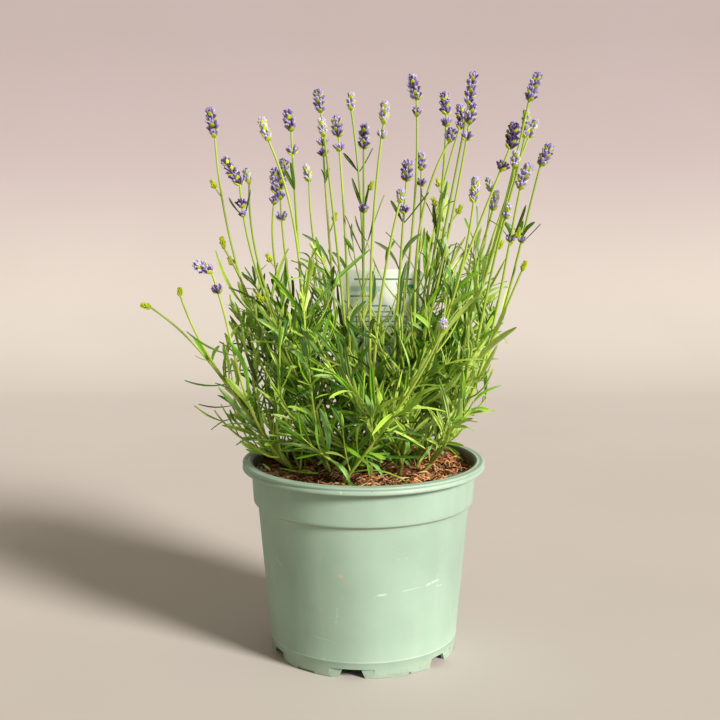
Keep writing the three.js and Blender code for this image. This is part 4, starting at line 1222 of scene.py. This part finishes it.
def crownLeaves(line, chance):
    # short old leaves that stand low on a branch, all round it
    found = []
    for at in chance.uniform(*plant["crownReach"], plant["crownLeaves"]):
        along = tangentAt(line, at)
        out = unit(np.cross(along, chance.normal(0, 1, 3)))
        way = unit(out + along * chance.uniform(0, 1.1) + upward * chance.uniform(-0.2, 0.4))
        found.append(freeLeaf(pointAt(line, at), along, out, way, chance.uniform(*plant["crownLength"]),
                              chance.uniform(-0.1, 0.2), 0))
    return found


def sideTwigs(line, chance):
    # side twigs on the leafy part of a stalk, each with its line and its pairs of small leaves
    twigs = []
    for place in range(plant["twigs"]):
        at = line["length"] * (0.15 + 0.36 * (place + chance.uniform()) / plant["twigs"])
        along, start = tangentAt(line, at), pointAt(line, at)
        side = unit(np.cross(along, chance.normal(0, 1, 3)))
        reach = chance.uniform(*plant["twigReach"])
        twig = bezierLine(start, start + (side * 0.6 + along * 0.5) * reach * 0.35,
                          start + (side * 0.62 + along * 0.62) * reach * 0.7,
                          start + (side * 0.6 + along * 0.62 + upward * 0.3) * reach)
        leaves, turn = [], chance.uniform(0, math.pi)
        if meetsLabel(twig["points"]) or not insideOutline(twig["points"][-1]):
            continue
        for step, share in enumerate((0.3, 0.56, 0.8, 0.99)):
            own = tangentAt(twig, share * twig["length"])
            first = unit(np.cross(own, side))
            for half in (0, 1):
                angle = turn + step * math.pi / 2 + half * math.pi
                out = first * math.cos(angle) + np.cross(own, first) * math.sin(angle)
                spread = math.radians(chance.uniform(32, 56) - 22 * share)
                leaves.append(freeLeaf(pointAt(twig, share * twig["length"]), own, out,
                                       unit(own * math.cos(spread) + out * math.sin(spread)),
                                       chance.uniform(*plant["twigLeafLength"]) * (1 - 0.3 * share),
                                       chance.uniform(-0.15, 0.2), 0.5 + 0.4 * share))
        twigs.append((twig, leaves))
    return twigs


def placedLeaves(number, rank, line):
    # the listed leaves on one stem
    layers = []
    shape = sources["leaf"]
    u = shape["shares"][:, None]
    for branchNumber, stemRank, at, tip, half, tone, bloom in setLeaves:
        if (branchNumber, stemRank) != (number, rank):
            continue
        root = pointAt(line, at)
        way = np.array(tip) - root
        size = np.linalg.norm(way)
        rise = -0.07 if tip[0] < -128 else 0.13
        arch = unit(np.cross(np.cross(way, upward), way)) * size * rise * np.sin(u * math.pi)
        path = (root + way * u + arch)[None]
        facing = unit(np.cross(way, unit(upward * 0.6 + unit(way * [0.2, 1, 0]) * 0.4)))
        sides = np.broadcast_to(facing, path.shape)
        felted = bloom if tip[2] > 185 else max(bloom, 0.88)
        layers.append(layCopies(shape, keptAbove(path), sides, [half], material=1,
                                tone=[tone], bloom=[felted]))
    return layers


def leafLayers(leaves, chance):
    # full leaves, and tufts of small ones where they join the stem
    shape, small = sources["leaf"], sources["smallLeaf"]
    lines, sides, widths, tones, blooms = [], [], [], [], []
    tuftLines, tuftSides, tuftWidths, tuftTones = [], [], [], []
    for leaf in leaves:
        u = shape["shares"][:, None]
        loose = 0.5 if leaf["sure"] else 1.0
        way = unit(leaf["way"] + chance.normal(0, 0.17, 3) * loose)
        way = unit(way + (leaf["out"] * 0.35 - upward * 0.15) * loose * max(0, 0.35 - leaf["share"]) / 0.35)
        size = leaf["size"] * chance.uniform(0.88, 1.2)
        tip = leaf["root"] + way * size
        skip = chance.uniform()
        kept = leaf["sure"] and (leaf["share"] > 0.45 or insideOutline(tip))
        if not kept and skip > keepShare(leaf, tip):
            continue
        arch = (leaf["out"] * chance.uniform(-0.5, 0.4) + upward * chance.uniform(-0.4, 0.3)) * size
        sway = leaf["breadth"] * size * chance.uniform(-0.18, 0.18)
        path = leaf["root"] + way * size * u + leaf["bend"] * u * u + (arch + sway) * (u * u - 0.3 * u)
        if meetsLabel(path):
            continue
        twist = chance.uniform(-0.5, 0.5) + chance.uniform(-1.0, 1.0) * u
        high = leaf["stalk"] and leaf["share"] > 0.6
        broad = plant["leafWidth"] * min(1.1, 0.5 + size / 75) * chance.uniform(0.68, 1.1)
        tone = leafTone(leaf["root"] + way * size * 0.5, leaf["share"], chance)
        bloom = chance.uniform(0, 1)
        if bloom > 0.85 or not hidesCard(path):
            lines.append(path)
            sides.append(leaf["breadth"] * np.cos(twist) + np.cross(way, leaf["breadth"]) * np.sin(twist))
            widths.append(broad)
            tones.append(tone * 0.3 if high else tone)
            blooms.append(bloom)
        if chance.uniform() > plant["tuftShare"]:
            continue
        for _ in range(chance.integers(1, 4)):
            v = small["shares"][:, None]
            jitter = chance.normal(0, 0.34, 3)
            way = unit(leaf["along"] * 0.85 + leaf["out"] * 0.5 + jitter)
            size = chance.uniform(*plant["tuftLength"])
            if chance.uniform() > keepShare(leaf, leaf["root"] + way * size):
                continue
            curl = leaf["out"] * size * chance.uniform(-0.1, 0.25) * v * v
            path = leaf["root"] + way * size * v + curl
            if meetsLabel(path) or hidesCard(path):
                continue
            tuftLines.append(path)
            tuftSides.append(np.broadcast_to(np.cross(way, unit(leaf["out"] + jitter)), (len(v), 3)))
            tuftWidths.append(chance.uniform(*plant["tuftWidth"]))
            tuftTones.append(min(0.88, leafTone(leaf["root"] + way * size * 0.5, 1, chance) + 0.14))
    layers = [layCopies(shape, keptAbove(np.array(lines)), np.array(sides), np.array(widths), material=1,
                        tone=tones, bloom=blooms)]
    if tuftLines:
        layers.append(layCopies(small, keptAbove(np.array(tuftLines)), np.array(tuftSides),
                                np.array(tuftWidths), material=1, tone=tuftTones, bloom=0.3))
    return layers


# The flower heads: whorls of calyces over pairs of bracts, each whorl a quarter turn on

head = {
    "full": {"pitch": 4.1, "calyx": 5.3, "width": 0.88, "spread": 46, "fan": 4, "bract": 4.2,
             "bractWidth": 2.2, "tone": 0.46},
    "pale": {"pitch": 3.7, "calyx": 4.4, "width": 0.84, "spread": 32, "fan": 4, "bract": 4.0,
             "bractWidth": 2.1, "tone": 0.76},
    "bud": {"pitch": 2.4, "calyx": 2.6, "width": 0.6, "spread": 24, "fan": 3, "bract": 3.0,
            "bractWidth": 1.2, "tone": 0.7},
    "tones": {"18a": 0.62, "18b": 0.72, "14b": 0.3, "15a": 0.2, "19a": 0.6, "02a": 0.45, "04a": 0.4,
              "10a": 0.78, "03a": 0.4},
    "innerShare": 0.5,                 # how far the inner calyces lean out beside the outer ones
    "startRadius": 0.85,
    "nodeFlowerShare": 0.7,
    # small side buds: branch, stalk, distance below the head, direction round the stem, reach in mm
    "sideBuds": [(3, 0, 47, 170, 9), (3, 0, 108, 150, 8), (6, 1, 60, 200, 7), (7, 0, 96, 30, 12),
                 (13, 1, 78, 200, 9), (14, 0, 74, 20, 8), (4, 0, 96, 190, 7), (9, 1, 40, 0, 10),
                 (17, 0, 120, 10, 9), (19, 0, 48, -20, 9), (12, 0, 60, 160, 8)],
}


def whorlLayers(form, centre, axis, side, turn, scale, close, chance, tone, firstMaterial=1):
    # one whorl: two bracts with a fan of calyces over each
    kind = head[form]
    calyxPlace = firstMaterial + (1 if form == "bud" else 0)
    other = np.cross(axis, side)
    calyx, bract = sources["calyx"], sources["bract"]
    lines, sides, sizes, tones = [], [], [], []
    bractLines, bractSides, bractSizes = [], [], []
    for half in (0, 1):
        middle = turn + half * math.pi
        fan = kind["fan"]
        for place in range(fan + 2):
            inner = place >= fan                      # the last two stand closer to the axis
            angle = (place - fan - 0.5) * 1.1 if inner else ((place + 0.5) / fan - 0.5) * math.radians(156)
            angle += middle + chance.normal(0, 0.12)
            lean = kind["spread"] * close * (head["innerShare"] if inner else 1) + chance.normal(0, 5)
            lean = math.radians(lean)
            out = side * math.cos(angle) + other * math.sin(angle)
            way = axis * math.cos(lean) + out * math.sin(lean)
            size = kind["calyx"] * scale * chance.uniform(0.88, 1.1)
            start = centre + out * head["startRadius"] + axis * (0.9 if inner else 0)
            curl = axis * size * 0.12
            u = calyx["shares"][:, None]
            lines.append(start + way * size * u + curl * u * u)
            sides.append(np.broadcast_to(np.cross(way, out), (len(u), 3)))
            sizes.append(kind["width"] * scale * chance.uniform(0.9, 1.1))
            tones.append(np.clip(tone + chance.normal(0, 0.17), 0, 1))
        out = side * math.cos(middle) + other * math.sin(middle)
        lean = math.radians(min(72, kind["spread"] * close + 24))
        way = axis * math.cos(lean) + out * math.sin(lean)
        v = bract["shares"][:, None]
        size = kind["bract"] * scale
        bractLines.append(centre + out * 0.8 - axis * 0.5 + way * size * v + axis * size * 0.45 * v * v)
        bractSides.append(np.broadcast_to(np.cross(way, out), (len(v), 3)))
        bractSizes.append(kind["bractWidth"] * scale)
    return [
        layCopies(calyx, np.array(lines), np.array(sides), np.array(sizes), material=calyxPlace, tone=tones),
        layCopies(bract, np.array(bractLines), np.array(bractSides), np.array(bractSizes),
                  material=firstMaterial + 1, tone=chance.uniform(0.4, 1, 2)),
    ]


def makeHead(name, one, line, reach, tag, chance):
    form = one["form"]
    kind = head[form]
    size = np.linalg.norm(one["tip"] - one["base"])
    early = pointAt(line, np.linspace(line["length"] - reach - 0.3, line["length"], 6)) if reach else None
    straight = one["base"] + (one["tip"] - one["base"]) * np.linspace(0, 1, 5)[:, None]
    points = np.concatenate([early[:-1], straight]) if reach else straight
    axisLine = measured(points)
    tone = head["tones"].get(tag, kind["tone"])
    layers = [stemLayer(axisLine, axisLine["length"] - kind["calyx"] * 0.7, (0.8, 0.7, 0.4), 0.7)]
    side = unit(np.cross(one["tip"] - one["base"], [0.2, 1, 0.1]))
    offset = chance.uniform(0, math.pi)
    begin = axisLine["length"] - size

    def whorlAt(at, turn, scale, close):
        axis = tangentAt(axisLine, at)
        across = unit(side - axis * side.dot(axis))
        layers.extend(whorlLayers(form, pointAt(axisLine, at), axis, across, offset + turn, scale, close,
                                  chance, tone))

    for place, distance in enumerate(sorted(d for d in one["whorls"] if d <= plant["deepestWhorl"])):
        whorlAt(begin - distance, (place + 1) * math.pi / 2, 0.94, 1.0)
    room = size - kind["calyx"] * 1.3
    count = max(2, round(room / kind["pitch"]) + 1)
    for place in range(count):
        share = place / (count - 1)
        close = 1.0 - 0.22 * share ** 3
        whorlAt(begin + share * room, place * math.pi / 2, 1.0 - 0.08 * share ** 3, close)
    whorlAt(begin + room + kind["calyx"] * 0.16, count * math.pi / 2, 0.86, 0.42)
    piece = joinLayers(name, layers, [green["stem"], green["calyx"], green["bract"]])
    return piece


def nodeFlowers(number, rank, one, line, chance):
    # a few calyces where the leaf pairs of a bare stalk stand, and the whorls far below its head
    layers = []
    deep = [d for d in one["whorls"] if d > plant["deepestWhorl"]]
    for distance in deep + [d for d in one["pairs"] if chance.uniform() < head["nodeFlowerShare"]]:
        at = line["length"] - distance + 0.8
        axis = tangentAt(line, at)
        side = unit(np.cross(axis, [0.2, 1, 0.1]))
        scale = 0.92 if distance in deep else 0.7
        layers += whorlLayers("full", pointAt(line, at), axis, side, chance.uniform(0, math.pi), scale, 1.0,
                              chance, 0.5, 2)
    for branchNumber, stalkRank, distance, degrees, reach in head["sideBuds"]:
        if (branchNumber, stalkRank) != (number, rank):
            continue
        at = line["length"] - distance
        axis = tangentAt(line, at)
        start = pointAt(line, at)
        out = np.array([math.cos(math.radians(degrees)), math.sin(math.radians(degrees)), 0])
        u = np.linspace(0, 1, 9)[:, None]
        way = measured(start + (out * 0.5 + axis * 0.5) * reach * u + axis * reach * 0.4 * u * u)
        layers.append(stemLayer(way, way["length"], (0.6, 0.5, 0.45), 0.8))
        tipAxis = tangentAt(way, way["length"])
        side = unit(np.cross(tipAxis, [0.2, 1, 0.1]))
        for step in range(3):
            centre = pointAt(way, way["length"]) + tipAxis * (step * 2.2 - 1)
            layers += whorlLayers("bud", centre, tipAxis, side, step * math.pi / 2,
                                  1.0 - 0.15 * step, 1.0 - 0.3 * step, chance, 0.7, 2)
    return layers


def growBranch(number, branch):
    tag = str(number).zfill(2)
    chance = np.random.default_rng(plant["seed"] + number)
    first = stalkLine(branch, 0, None)
    layers = []
    stems = [(rank, one, stalkLine(branch, rank, first) if rank else first)
             for rank, one in enumerate(branch["stalks"])]
    stems += [(len(branch["stalks"]) + i, None, shootLine(number, i, first)) for i in range(plant["shoots"])]
    for rank, one, line in stems:
        reach = 0
        if one:
            close = [d for d in one["whorls"] if d <= plant["deepestWhorl"]]
            reach = max(close) + 3 if close else 0
            letters = tag + "ab"[rank]
            layers += nodeFlowers(number, rank, one, line, chance)
            if one["form"] == "bud":
                makeHead("greenBud" + letters, one, line, 0, letters, chance)
            else:
                piece = makeHead("flowerHead" + letters, one, line, reach, letters, chance)
                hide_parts("spike_" + letters)
        widths = plant["stalkWidths"] if one else plant["shootWidths"]
        layers.append(stemLayer(line, line["length"] - reach, widths, chance.uniform(0.2, 1)))
        leaves = leafPairs(number, rank, line, one)
        if rank == 0:
            leaves += crownLeaves(line, chance)
        for twig, twigLeaves in sideTwigs(line, chance) if one and line["length"] > 90 else []:
            layers.append(stemLayer(twig, twig["length"], plant["twigWidths"], 0.8))
            leaves += twigLeaves
        layers += leafLayers(leaves, chance) + placedLeaves(number, rank, line)
    piece = joinLayers("leafyBranch" + tag, layers,
                       [green["stem"], green["leaf"], green["calyx"], green["bract"]])
    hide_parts("branch_" + tag)


for number, branch in enumerate(branches, 1):
    growBranch(number, branch)
triangles = [len(piece.data.loops) - 2 * len(piece.data.polygons) for piece in bpy.data.objects
             if piece.type == "MESH" and not piece.hide_render]
print("plant grown:", len(branches), "branches;", sum(triangles), "triangles in view, at most",
      max(triangles), "in one piece")
